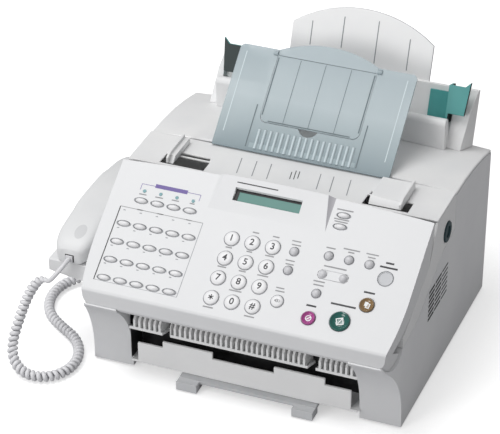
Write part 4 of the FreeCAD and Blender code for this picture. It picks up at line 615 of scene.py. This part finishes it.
rocker_plate = make_piece("scroll_rocker_plate", plate_bm, panel_white, body_of_node("scroll_rocker"), 50)
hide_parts("scroll_rocker")
rocker_bm = bmesh.new()
for side in (-1, 1):
    dome = turned(LENS, 28)
    dome.transform(Matrix.Translation((rocker_middle.x + side * (rocker_reach.x - ROCKER_DOME - DOME_MARGIN),
                                       rocker_middle.y, rocker_low.z))
                   @ Matrix.Diagonal((ROCKER_DOME, ROCKER_DOME,
                                      rocker_high.z - rocker_low.z + ROCKER_RISE, 1)))
    add_part(rocker_bm, dome)
rocker_bm.transform(panel_frame)
make_piece("scroll_rocker_caps", rocker_bm, small_key_grey, body_of_node("scroll_rocker"), 50)

# %% [markdown]
# The digits are text made into flat meshes, and each rides on its own key. The star is three crossed bars.


# %% Digits
DIGIT_SIZE = 9.0
MARK_LIFT = 0.10 * MM
BOLD = 0.14 * MM
STAR_LENGTH, STAR_WIDTH, STAR_TURNS = 5.4, 0.95, (30, 90, 150)


def add_character(bm, text, size, place):
    """A printed character as a flat mesh in the panel's frame."""
    curve = bpy.data.curves.new("character", "FONT")
    curve.body = text
    curve.size = size * MM
    curve.offset = BOLD
    curve.align_x, curve.align_y = "CENTER", "CENTER"
    holder = bpy.data.objects.new("character", curve)
    mesh = bpy.data.meshes.new_from_object(holder)
    mesh.transform(place)
    bm.from_mesh(mesh)
    bpy.data.meshes.remove(mesh)
    bpy.data.objects.remove(holder)


def key_top(node):
    """Middle of a key's top, in the panel's own frame and in millimetres."""
    low, high = key_boxes(node)[0]
    return (low.x + high.x) / 2 / MM, (low.y + high.y) / 2 / MM, high.z / MM


def mark_on_key(node, name, bm, material, out):
    bm.transform(Matrix.Translation((0, 0, out * MM + MARK_LIFT)))
    bm.transform(panel_frame)
    return make_piece(name, bm, material, body_of_node(node))


for node in digit_keys:
    across, along, top = key_top(node)
    bm = bmesh.new()
    symbol = node.removeprefix("key_")
    if symbol == "star":
        for turn in STAR_TURNS:
            add_bar(bm, across, along, STAR_LENGTH, STAR_WIDTH, turn)
    else:
        add_character(bm, "#" if symbol == "hash" else symbol, DIGIT_SIZE, spot(across, along))
    mark_on_key(node, f"{node}_mark", bm, ink, top)

# %% [markdown]
# The three coloured keys carry plain signs: a page with a stroke, a crossed ring and a sheet.
# An open frame is a face that is inset and then loses its middle.


# %% Signs on the coloured keys
SIGN_OUT = 0.25


def add_frame(bm, across, along, width, depth, line, turn):
    """An open frame of even line width."""
    sheet = bmesh.new()
    bmesh.ops.create_grid(sheet, x_segments=1, y_segments=1, size=1, matrix=Matrix.Diagonal(
        (width * MM / 2, depth * MM / 2, 1, 1)))
    middle = list(sheet.faces)
    bmesh.ops.inset_individual(sheet, faces=middle, thickness=line * MM, use_even_offset=True)
    bmesh.ops.delete(sheet, geom=middle, context="FACES")
    sheet.transform(spot(across, along, turn=turn))
    add_part(bm, sheet)


def add_ring(bm, across, along, radius, line):
    ring = turned([(radius * MM, 0), ((radius + line) * MM, 0)], 36)
    ring.transform(spot(across, along))
    add_part(bm, ring)


def sign_in_bowl(node, name, bm):
    """Lays a sign on the hollow of a round key: each corner takes the height of the bowl there."""
    low, high = key_boxes(node)[0]
    middle, reach = (low + high) / 2, (high - low) / 2
    for vert in bm.verts:
        out = math.hypot(vert.co.x - middle.x, vert.co.y - middle.y) / (reach.x * KEY_TRIM)
        for (wide, tall), (narrow, deep) in zip(BOWL, BOWL[1:]):
            if narrow <= out <= wide and wide > narrow:
                height = deep + (tall - deep) * (out - narrow) / (wide - narrow)
        vert.co.z = low.z + height * (high.z - low.z)
    return mark_on_key(node, name, bm, white_ink, SIGN_OUT)


across, along, _ = key_top("start_key")
bm = bmesh.new()
add_frame(bm, across, along, 7.0, 7.0, 0.95, 20)
add_bar(bm, across, along, 6.6, 0.85, 65)
sign_in_bowl("start_key", "start_sign", bm)

across, along, _ = key_top("stop_key")
bm = bmesh.new()
add_ring(bm, across, along, 2.1, 0.9)
add_bar(bm, across, along, 4.6, 0.9, 40)
sign_in_bowl("stop_key", "stop_sign", bm)

across, along, _ = key_top("copy_key")
bm = bmesh.new()
add_frame(bm, across + 0.9, along - 0.5, 4.0, 5.2, 0.8, -6)
add_bar(bm, across - 0.9, along + 1.0, 3.2, 4.2, -6)
sign_in_bowl("copy_key", "copy_sign", bm)

across, along, top = key_top("speaker_key")
bm = bmesh.new()
add_bar(bm, across - 1.5, along, 1.6, 1.8)
add_frame(bm, across - 0.1, along, 1.6, 3.2, 0.5, 0)
add_ring(bm, across + 1.9, along, 0.9, 0.5)
mark_on_key("speaker_key", "speaker_sign", bm, soft_ink, top)

# %% [markdown]
# The word labels are left off. Short plain bars of ink stand in their places, each a word long.

# %% Ink on the panel
PALE_LABELS = [
    (-124.6, 105.5, 7.5, 1.2), (-107.9, 105.6, 8.0, 1.2), (-91.4, 106.0, 7.5, 1.2), (-74.4, 106.4, 5.0, 1.2),
    (-4.7, 91.0, 6.4, 1.3), (15.4, 91.0, 6.4, 1.3), (-25.3, 71.0, 6.4, 1.3), (-4.8, 71.0, 5.6, 1.3),
    (15.3, 71.0, 8.8, 1.3), (-25.5, 50.7, 8.6, 1.3), (-5.0, 50.6, 6.8, 1.3), (15.3, 50.5, 10.8, 1.3),
    (-5.2, 30.2, 12.4, 1.3), (-25.4, 8.9, 10.0, 1.3), (15.5, 8.6, 10.0, 1.3),
    (35.9, 91.0, 9.0, 1.2), (36.7, 87.2, 9.0, 1.2), (35.8, 70.9, 9.0, 1.2), (36.4, 67.2, 8.0, 1.2),
    (35.3, 42.4, 8.0, 1.2), (36.0, 39.2, 9.0, 1.2),
    (70.9, 131.4, 16.0, 1.3), (70.3, 121.5, 14.5, 1.2), (70.6, 119.0, 13.0, 1.2), (69.4, 91.5, 9.0, 1.3),
    (89.0, 93.9, 16.0, 1.3), (89.3, 91.2, 6.0, 1.3), (109.3, 93.7, 12.0, 1.3), (109.4, 90.4, 7.5, 1.3),
    (79.3, 73.2, 22.0, 1.4), (68.8, 56.8, 11.0, 1.3), (69.3, 53.1, 10.0, 1.3),
]
DARK_LABELS = [
    (127.8, 88.6, 8.0, 1.8), (127.8, 84.1, 17.0, 1.8), (117.7, 56.3, 10.5, 1.8), (69.0, 31.9, 9.5, 1.8),
    (97.9, 38.8, 24.0, 1.8), (-17.1, 136.1, 41.0, 1.1),
]
print_on_panel("pale_labels", PALE_LABELS, soft_ink)
print_on_panel("dark_labels", DARK_LABELS, ink)
NUMBER_LEFT, NUMBER_BACK, NUMBER_PITCH, NUMBER_ROW = -136.6, 86.2, 16.6, 18.9
NUMBER_WIDTH, NUMBER_DEPTH = 2.4, 0.8
NUMBER_ROWS, NUMBER_COLUMNS = 4, 5
print_on_panel("touch_numbers", [(NUMBER_LEFT + column * NUMBER_PITCH, NUMBER_BACK - row * NUMBER_ROW,
                                  NUMBER_WIDTH, NUMBER_DEPTH)
                                 for row in range(NUMBER_ROWS) for column in range(NUMBER_COLUMNS)], line_and_shade_grey)

# %% [markdown]
# A violet bar with a thin bracket ties the four lamps together, and a line frames the one-touch keys.

# %% Lines on the panel
print_on_panel("violet_bar", [(-98.8, 116.7, 32.8, 4.0)], violet_ink)
print_on_panel("violet_bracket", [(-122.0, 116.2, 13.6, 0.5), (-75.4, 116.8, 13.6, 0.5),
                                  (-128.8, 113.2, 0.5, 6.4), (-68.8, 113.6, 0.5, 6.8)], violet_ink)

TOUCH_LEFT, TOUCH_RIGHT, TOUCH_FRONT, TOUCH_BACK = -141.8, -57.6, 11.6, 89.4
touch_middle, touch_width = (TOUCH_LEFT + TOUCH_RIGHT) / 2, TOUCH_RIGHT - TOUCH_LEFT
touch_half, touch_depth = (TOUCH_FRONT + TOUCH_BACK) / 2, TOUCH_BACK - TOUCH_FRONT
print_on_panel("touch_edge", [(TOUCH_LEFT, touch_half, 1.0, touch_depth)], ink)
print_on_panel("touch_line", [(touch_middle, TOUCH_BACK, touch_width, 0.6), (-122.0, TOUCH_BACK, 6.0, 1.0),
                              (-100.9, TOUCH_BACK, 6.0, 1.0), (-71.9, TOUCH_BACK, 6.0, 1.0)], soft_ink)
print_on_panel("touch_thin_line", [(TOUCH_RIGHT, touch_half, 0.5, touch_depth),
                                   (touch_middle, TOUCH_FRONT, touch_width, 0.35)], line_and_shade_grey)

# %% [markdown]
# The display lies in a deep window, and black bars of painted shade lie beside it on the left and at the top,
# where the window's walls shade it.

# %% Display recess shade
window_low, window_high = key_boxes("lcd_window")[0]
RECESS_SHADE_SIDE, RECESS_SHADE_TOP = 4.2, 2.8
bm = bmesh.new()
left, right = window_low.x / MM, window_high.x / MM
front, rear = window_low.y / MM, window_high.y / MM
add_bar(bm, left + RECESS_SHADE_SIDE / 2, (front + rear) / 2, RECESS_SHADE_SIDE, rear - front)
add_bar(bm, (left + right + RECESS_SHADE_SIDE) / 2, rear - RECESS_SHADE_TOP / 2, right - left - RECESS_SHADE_SIDE, RECESS_SHADE_TOP)
mark_on_key("lcd_window", "display_recess_shade", bm, black, window_high.z / MM)

# %% [markdown]
# The smoky tray has lines moulded in it: pale ones by its edges, dark ones beside the flap, thin ones on
# the flap, and a band of round ridges at its foot. A ridge is a cylinder pressed flat and half sunk.

# %% Lines of the document tray
TRAY_SLOPE, TRAY_EDGE = 40.8, (23.75, 23.31, 179.3)
tray_frame = face_frame(TRAY_EDGE, TRAY_SLOPE)
tray_tree = skin_tree("document_tray", tray_frame)
flap_tree = skin_tree("tray_flap", tray_frame)
print_bars("tray_pale_lines", "document_tray", tray_frame, tray_tree,
           [(-82.8, 51, 0.9, 84), (82.2, 51, 0.9, 84)], smoke_ridge)
print_bars("tray_ridge_band", "document_tray", tray_frame, tray_tree, [(0.5, 0.0, 108, 5.0)], smoke_shade)
print_bars("tray_dark_lines", "document_tray", tray_frame, tray_tree,
           [(-56.6, 19.5, 1.1, 44), (56.2, 19.5, 1.1, 44)], smoke_line)
print_bars("flap_lines", "tray_flap", tray_frame, flap_tree,
           [(-26.5, 60, 0.6, 66), (-0.8, 60, 0.6, 66), (25.3, 60, 0.6, 66), (0, 94.2, 100, 0.7),
            (-49.2, 62, 1.2, 60), (49.2, 62, 1.2, 60), (0, 26.6, 84, 1.2)], smoke_line)

RIDGES, RIDGE_PITCH, RIDGE_LOW, RIDGE_HIGH, RIDGE_WIDE, RIDGE_OUT = 17, 6.0, -3.0, 17.0, 3.0, 1.3
RIDGE_SHIFT, RIDGE_LEVEL = 1, 2.0
bm = bmesh.new()
for ridge in range(RIDGES):
    across = (ridge - (RIDGES - 1) / 2) * RIDGE_PITCH + RIDGE_SHIFT
    place = spot(across, (RIDGE_LOW + RIDGE_HIGH) / 2, RIDGE_LEVEL)
    flat = Matrix.Diagonal((RIDGE_WIDE / 2 * MM, (RIDGE_HIGH - RIDGE_LOW) * MM, RIDGE_OUT * MM, 1))
    bmesh.ops.create_cone(bm, cap_ends=True, segments=16, radius1=1, radius2=1, depth=1,
                          matrix=place @ flat @ Matrix.Rotation(math.pi / 2, 4, "X"))
bm.transform(tray_frame)
make_piece("tray_ridges", bm, smoke_ridge, body_of_node("document_tray"), 50)
print(RIDGES, "ridges on the tray")

# %% [markdown]
# The paper support has four upright ribs, and the chute below the tray has plain guide lines.

# %% Ribs and guide lines
SUPPORT_TILT, SUPPORT_EDGE = 70, (39.75, 140, 219)
support_frame = face_frame(SUPPORT_EDGE, SUPPORT_TILT)
print_bars("support_ribs", "paper_support", support_frame, skin_tree("paper_support", support_frame),
           [(-52.7, 25, 1.0, 24), (-20.4, 31, 1.0, 31), (15.0, 27, 1.0, 42), (48.5, 20.5, 1.0, 31)], line_and_shade_grey)

CHUTE_EDGE, CHUTE_TURN = (23.75, -8, 174.5), 11
chute_frame = face_frame(CHUTE_EDGE, 0)
chute_tree = skin_tree("document_chute", chute_frame)
print_bars("chute_lines", "document_chute", chute_frame, chute_tree,
           [(across, 0.2, 0.9, 28, CHUTE_TURN) for across in (-51.4, -35.9, -20.9, 29.3, 42.4, 59.5)], line_and_shade_grey)
print_bars("chute_sign", "document_chute", chute_frame, chute_tree,
           [(0.8, 1, 0.8, 13, CHUTE_TURN), (4.2, 3.2, 0.8, 16, CHUTE_TURN),
            (7.6, 4.4, 0.8, 13, CHUTE_TURN)], ink)

# %% [markdown]
# The side slots are black bars of painted shade that lie on the skin of the base, and the mouths of the rear
# sockets are black bars there too.
# Round the paper exit it is dark inside the machine: thin black plates of painted shade stand there, and one
# at the handset's jack stands for the shade in its recess.


# %% Slots, mouths and plates of painted shade
def shade_plate(name, node, corner, turn, width, height):
    """A black upright plate of painted shade, from its middle in mm, turned about the upright axis."""
    bm = bmesh.new()
    size = Matrix.Diagonal((width / 2 * MM, height / 2 * MM, 1, 1))
    stand = Matrix.Rotation(math.radians(turn), 4, "Z") @ Matrix.Rotation(math.pi / 2, 4, "X")
    bmesh.ops.create_grid(bm, x_segments=1, y_segments=1, size=1,
                          matrix=Matrix.Translation(Vector(corner) * MM) @ stand @ size)
    return make_piece(name, bm, black, body_of_node(node))


# The side slots are black bars of painted shade, standing for the shade inside the machine.
VENT_FACE, VENT_ROWS, VENT_TOP, VENT_PITCH = 179.75, 7, 106.0, 4.95
VENT_DRIFT = 0.3
VENT_COLUMNS = ((-43.4, 17.0, 3.0), (-23.9, 18.0, 2.6), (-4.4, 17.4, 1.9))
vent_bm = bmesh.new()
for row in range(VENT_ROWS):
    for middle, length, height in VENT_COLUMNS:
        add_bar(vent_bm, middle - row * VENT_DRIFT, VENT_TOP - row * VENT_PITCH, length, height)
side_axes = (Vector((0, 1, 0)), Vector((0, 0, 1)), Vector((1, 0, 0)))
vent_bm.transform(Matrix.Translation((VENT_FACE * MM + INK_LIFT, 0, 0))
                  @ Matrix(side_axes).transposed().to_4x4())
make_piece("side_vent_painted_shade", vent_bm, black, body_of_node("base_housing"))
REAR_SOCKETS = ((133.75, 43.5, 26.0, 20.0), (-80.0, 37.0, 11.6, 10.6), (-62.0, 37.0, 11.6, 10.6))
rear_axes = (Vector((-1, 0, 0)), Vector((0, 0, 1)), Vector((0, 1, 0)))
rear_frame = Matrix(rear_axes).transposed().to_4x4()
REAR_PROBE = 200 * MM
rear_tree = skin_tree("base_housing", rear_frame)
rear_bm = bmesh.new()
for across, height, width, tall in REAR_SOCKETS:
    add_bar(rear_bm, -across, height, width, tall)
for vert in rear_bm.verts:
    hit = rear_tree.ray_cast(Vector((vert.co.x, vert.co.y, REAR_PROBE)), Vector((0, 0, -1)))[0]
    vert.co.z = hit.z + INK_LIFT
rear_bm.transform(rear_frame)
make_piece("rear_socket_mouths", rear_bm, black, body_of_node("base_housing"))
# Black plates of painted shade inside the paper exit and in the handset's jack.
shade_plate("comb_painted_shade", "exit_guide", (23.75, -110.9, 54.5), 0, 229.6, 22.6)
shade_plate("exit_painted_shade", "base_housing", (23.75, -102.85, 28), 0, 229, 29)
shade_plate("exit_side_painted_shade", "base_housing", (-91.1, -116, 40), 90, 26, 52)
shade_plate("jack_painted_shade", "handset", (-157.3, -118.85, 106), 0, 9.0, 8.0)

# %% [markdown]
# The handset is a bar of round-cornered sections. Every section is a circle pressed towards a box, and
# neighbours are bridged. Its top is a flat arch and its underside is cut away between the two cups.

# %% Handset
hand_low = Vector([min(v.co[n] for v in nodes["handset"].data.vertices) for n in range(3)])
hand_high = Vector([max(v.co[n] for v in nodes["handset"].data.vertices) for n in range(3)])
HAND_SECTIONS, HAND_SIDES = 72, 48
CUP_LENGTH, CUP_SLANT, GRIP_RISE = 0.26, 0.08, 11.6 * MM
HAND_SQUARE = 0.55
END_HEIGHT, END_START, ARCH_FLATNESS = 0.30, 0.02, 0.42
END_WIDTH, END_ROUND = 0.46, 0.15


def hand_top(share):
    """Share of the full height that the arch reaches, from one end of the handset to the other."""
    end = min(share, 1 - share) * 2
    return END_HEIGHT + (1 - END_HEIGHT) * math.sin(math.pi / 2 * min(1, end + END_START)) ** ARCH_FLATNESS


def hand_width(share):
    end = min(share, 1 - share)
    return END_WIDTH + (1 - END_WIDTH) * math.sqrt(1 - (1 - min(1, end / END_ROUND)) ** 2)


def ring_edges(ring):
    """The edges between a section's own corners, in the same order each run."""
    return list(dict.fromkeys(edge for vert in ring for edge in vert.link_edges
                              if all(other in ring for other in edge.verts)))


bm = bmesh.new()
rings = []
for section in range(HAND_SECTIONS + 1):
    share = 0.5 - 0.5 * math.cos(math.pi * section / HAND_SECTIONS)
    depth = hand_low.y + share * (hand_high.y - hand_low.y)
    top = hand_low.z + hand_top(share) * (hand_high.z - hand_low.z)
    end = min(share, 1 - share)
    low = hand_low.z + GRIP_RISE * ease((end - CUP_LENGTH) / CUP_SLANT)
    wide = hand_width(share) * (hand_high.x - hand_low.x) / 2
    made = bmesh.ops.create_circle(bm, segments=HAND_SIDES, radius=1)["verts"]
    for vert in made:
        flat = Vector((vert.co.x, vert.co.y))
        flat = Vector([math.copysign(abs(c) ** HAND_SQUARE, c) for c in flat])
        vert.co = ((hand_low.x + hand_high.x) / 2 + flat.x * wide, depth,
                   (top + low) / 2 + flat.y * (top - low) / 2)
    rings.append(made)
for first, second in zip(rings, rings[1:]):
    bmesh.ops.bridge_loops(bm, edges=ring_edges(first) + ring_edges(second))
for ring in (rings[0], rings[-1]):
    bmesh.ops.edgeloop_fill(bm, edges=ring_edges(ring))
bmesh.ops.recalc_face_normals(bm, faces=bm.faces)
handset = make_piece("handset_shell", bm, handset_white, body_of_node("handset"), 60)
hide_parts("handset")
print("handset has", len(handset.data.polygons), "faces")

# %% [markdown]
# A shallow thumb dish is moulded in the handset's top, near the end that takes the cord. It is not shaped: a
# slightly darker patch of painted shade lies on the shell in its place, standing for the shade in the hollow.

# %% Thumb dish
DISH_MIDDLE, DISH_HALF = Vector((-153.5, -99.5)) * MM, Vector((5.6, 8.6)) * MM
SHELL_PROBE = 200 * MM
shell_tree = BVHTree.FromPolygons([v.co for v in handset.data.vertices],
                                  [p.vertices for p in handset.data.polygons])
dish_bm = turned([(1, 0), (0.8, 0), (0.6, 0), (0.3, 0), (0, 0)], 40)
for vert in dish_bm.verts:
    place = Vector((DISH_MIDDLE.x + vert.co.x * DISH_HALF.x,
                    DISH_MIDDLE.y + vert.co.y * DISH_HALF.y, SHELL_PROBE))
    hit = shell_tree.ray_cast(place, Vector((0, 0, -1)))[0]
    vert.co = hit + Vector((0, 0, INK_LIFT))
make_piece("handset_dish_shade", dish_bm, dish_shade_grey, body_of_node("handset"), 60)

# %% [markdown]
# The curly cord is one wire wound into a long spring. Its middle line is a smooth NURBS curve led by the
# CAD cord's points, of which four are moved a little inwards. The helix then goes round that line: at each
# point a ring direction is carried along without twist, and the wire's distance from the middle grows from
# nothing at the ends.

# %% The cord's middle line
ROUTE = [
    (-0.1572, -0.1207, 0.106), (-0.1577, -0.1327, 0.105), (-0.1632, -0.1397, 0.098),
    (-0.1702, -0.1387, 0.088), (-0.1792, -0.1327, 0.086), (-0.1872, -0.1327, 0.08),
    (-0.1942, -0.1387, 0.066), (-0.1992, -0.1477, 0.046), (-0.2022, -0.1587, 0.027),
    (-0.1972, -0.1717, 0.014), (-0.1822, -0.1811, 0.0076), (-0.1642, -0.1811, 0.0066),
    (-0.1492, -0.1707, 0.0066), (-0.1422, -0.1527, 0.0066), (-0.1452, -0.1307, 0.0066),
    (-0.1592, -0.1097, 0.0066), (-0.1812, -0.0967, 0.0066), (-0.2022, -0.0807, 0.0066),
    (-0.2133, -0.0567, 0.0066), (-0.2133, -0.0327, 0.0066), (-0.2022, -0.0147, 0.0074),
    (-0.1822, -0.0037, 0.013), (-0.1582, 0.0013, 0.022), (-0.1432, 0.0023, 0.025),
    (-0.1342, 0.0023, 0.025),
]


def nurbs_curve(name, points):
    curve = bpy.data.curves.new(name, "CURVE")
    curve.dimensions = "3D"
    spline = curve.splines.new("NURBS")
    spline.points.add(len(points) - 1)
    for control, point in zip(spline.points, points):
        control.co = (*point, 1)
    spline.order_u = 3
    spline.use_endpoint_u = True
    curve.resolution_u = 12
    return bpy.data.objects.new(name, curve)


def points_along(curve_object):
    mesh = bpy.data.meshes.new_from_object(curve_object)
    points = [v.co.copy() for v in mesh.vertices]
    bpy.data.meshes.remove(mesh)
    return points


middle_line = points_along(nurbs_curve("cord_middle", ROUTE))
line_length = sum((b - a).length for a, b in zip(middle_line, middle_line[1:]))
print(f"the cord's middle line is {line_length:.3f} m long")

# %% The wire round it
WIRE = 4.5 * MM
COIL_RADIUS = 3.2 * MM
CURLS = 75
STEPS = 16
TAIL = 36 * MM
RAMP = 22 * MM
END_RUN = 8 * MM
TAIL_STEPS = 12


def point_at(line, distance):
    """The point this far along a line, with the direction there."""
    for a, b in zip(line, line[1:]):
        step = (b - a).length
        if distance <= step:
            return a.lerp(b, distance / step), (b - a).normalized()
        distance -= step
    return line[-1].copy(), (line[-1] - line[-2]).normalized()


def curly_wire(line, length):
    first, last = TAIL, length - END_RUN
    count = CURLS * STEPS
    spots = [TAIL * n / TAIL_STEPS for n in range(TAIL_STEPS)]
    spots += [first + (last - first) * n / count for n in range(count + 1)]
    spots += [length]
    side = None
    wire = []
    for spot in spots:
        point, along = point_at(line, spot)
        side = along.orthogonal() if side is None else side - along * side.dot(along)
        side.normalize()
        turn = 2 * math.pi * CURLS * (spot - first) / (last - first)
        reach = COIL_RADIUS * ease((spot - first) / RAMP) * ease((last - spot) / RAMP)
        wire.append(point + (side * math.cos(turn) + along.cross(side) * math.sin(turn)) * reach)
    return wire


wire_curve = nurbs_curve("handset_wire", curly_wire(middle_line, line_length))
wire_curve.data.resolution_u = 2
wire_path = points_along(wire_curve)
wire_curve.data.bevel_depth = WIRE / 2
wire_curve.data.bevel_resolution = 2
wire_curve.data.use_fill_caps = True
cord_mesh = bpy.data.meshes.new_from_object(wire_curve)
cord_mesh.materials.clear()
cord_mesh.materials.append(cord_white)
cord_mesh.shade_smooth()
cord = bpy.data.objects.new("curly_cord", cord_mesh)
bpy.context.scene.collection.objects.link(cord)
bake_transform(cord)
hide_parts("handset_cord")

# %% [markdown]
# The stage is a pale floor under a white world. Two big soft lamps light the object from the left and
# the front, so that the right side falls into shade as in a studio picture.

# %% Floor, world and lamps
FLOOR_SIZE = 12
FLOOR_GLOW, FLOOR_BOUNCE, FLOOR_SEEN = 0.45, (0.45, 0.45, 0.46, 1), (0.90, 0.90, 0.90, 1)
SKY_LIGHT, SKY_SEEN = 0.43, 1.0
floor_bm = bmesh.new()
bmesh.ops.create_grid(floor_bm, x_segments=1, y_segments=1, size=FLOOR_SIZE / 2)
floor_mesh = bpy.data.meshes.new("floor")
floor_bm.to_mesh(floor_mesh)
floor_bm.free()
floor_paper = moulded_plastic("floor_paper", (0.90, 0.90, 0.90), (0.89, 0.89, 0.89), 0.9,
                              grain=200, depth=0.0)
floor_shader = floor_paper.node_tree.nodes["Principled BSDF"]
floor_rays = floor_paper.node_tree.nodes.new("ShaderNodeLightPath")
floor_glow = floor_paper.node_tree.nodes.new("ShaderNodeMath")
floor_glow.operation = "MULTIPLY"
floor_glow.inputs[1].default_value = FLOOR_GLOW
floor_paper.node_tree.links.new(floor_rays.outputs["Is Camera Ray"], floor_glow.inputs[0])
floor_tone = floor_paper.node_tree.nodes.new("ShaderNodeMix")
floor_tone.data_type = "RGBA"
floor_tone.inputs[6].default_value = FLOOR_BOUNCE
floor_tone.inputs[7].default_value = FLOOR_SEEN
floor_paper.node_tree.links.new(floor_rays.outputs["Is Camera Ray"], floor_tone.inputs[0])
floor_paper.node_tree.links.new(floor_tone.outputs[2], floor_shader.inputs["Base Color"])
floor_paper.node_tree.links.new(floor_glow.outputs["Value"], floor_shader.inputs["Emission Strength"])
floor_shader.inputs["Emission Color"].default_value = (1, 1, 1, 1)
floor_mesh.materials.append(floor_paper)
floor = bpy.data.objects.new("floor", floor_mesh)
bpy.context.scene.collection.objects.link(floor)

world = bpy.data.worlds.new("studio")
world.use_nodes = True
bpy.context.scene.world = world
sky = world.node_tree.nodes["Background"]
sky.inputs["Color"].default_value = (1, 1, 1, 1)
rays = world.node_tree.nodes.new("ShaderNodeLightPath")
sky_level = world.node_tree.nodes.new("ShaderNodeMix")
sky_level.inputs["A"].default_value = SKY_LIGHT
sky_level.inputs["B"].default_value = SKY_SEEN
world.node_tree.links.new(rays.outputs["Is Camera Ray"], sky_level.inputs["Factor"])
world.node_tree.links.new(sky_level.outputs["Result"], sky.inputs["Strength"])


def soft_lamp(name, place, target, size, watts):
    lamp = bpy.data.lights.new(name, "AREA")
    lamp.shape = "DISK"
    lamp.size = size
    lamp.energy = watts
    holder = bpy.data.objects.new(name, lamp)
    holder.location = place
    holder.rotation_mode = "QUATERNION"
    holder.rotation_quaternion = (Vector(target) - Vector(place)).to_track_quat("-Z", "Y")
    bpy.context.scene.collection.objects.link(holder)


soft_lamp("key_lamp", (-0.7, -0.35, 2.6), (0, 0, 0.1), 1.6, 34)
soft_lamp("front_lamp", (-1.2, -2.4, 0.9), (0, 0, 0.1), 1.4, 24)
bpy.context.scene.view_settings.view_transform = "Standard"
print("stage set")
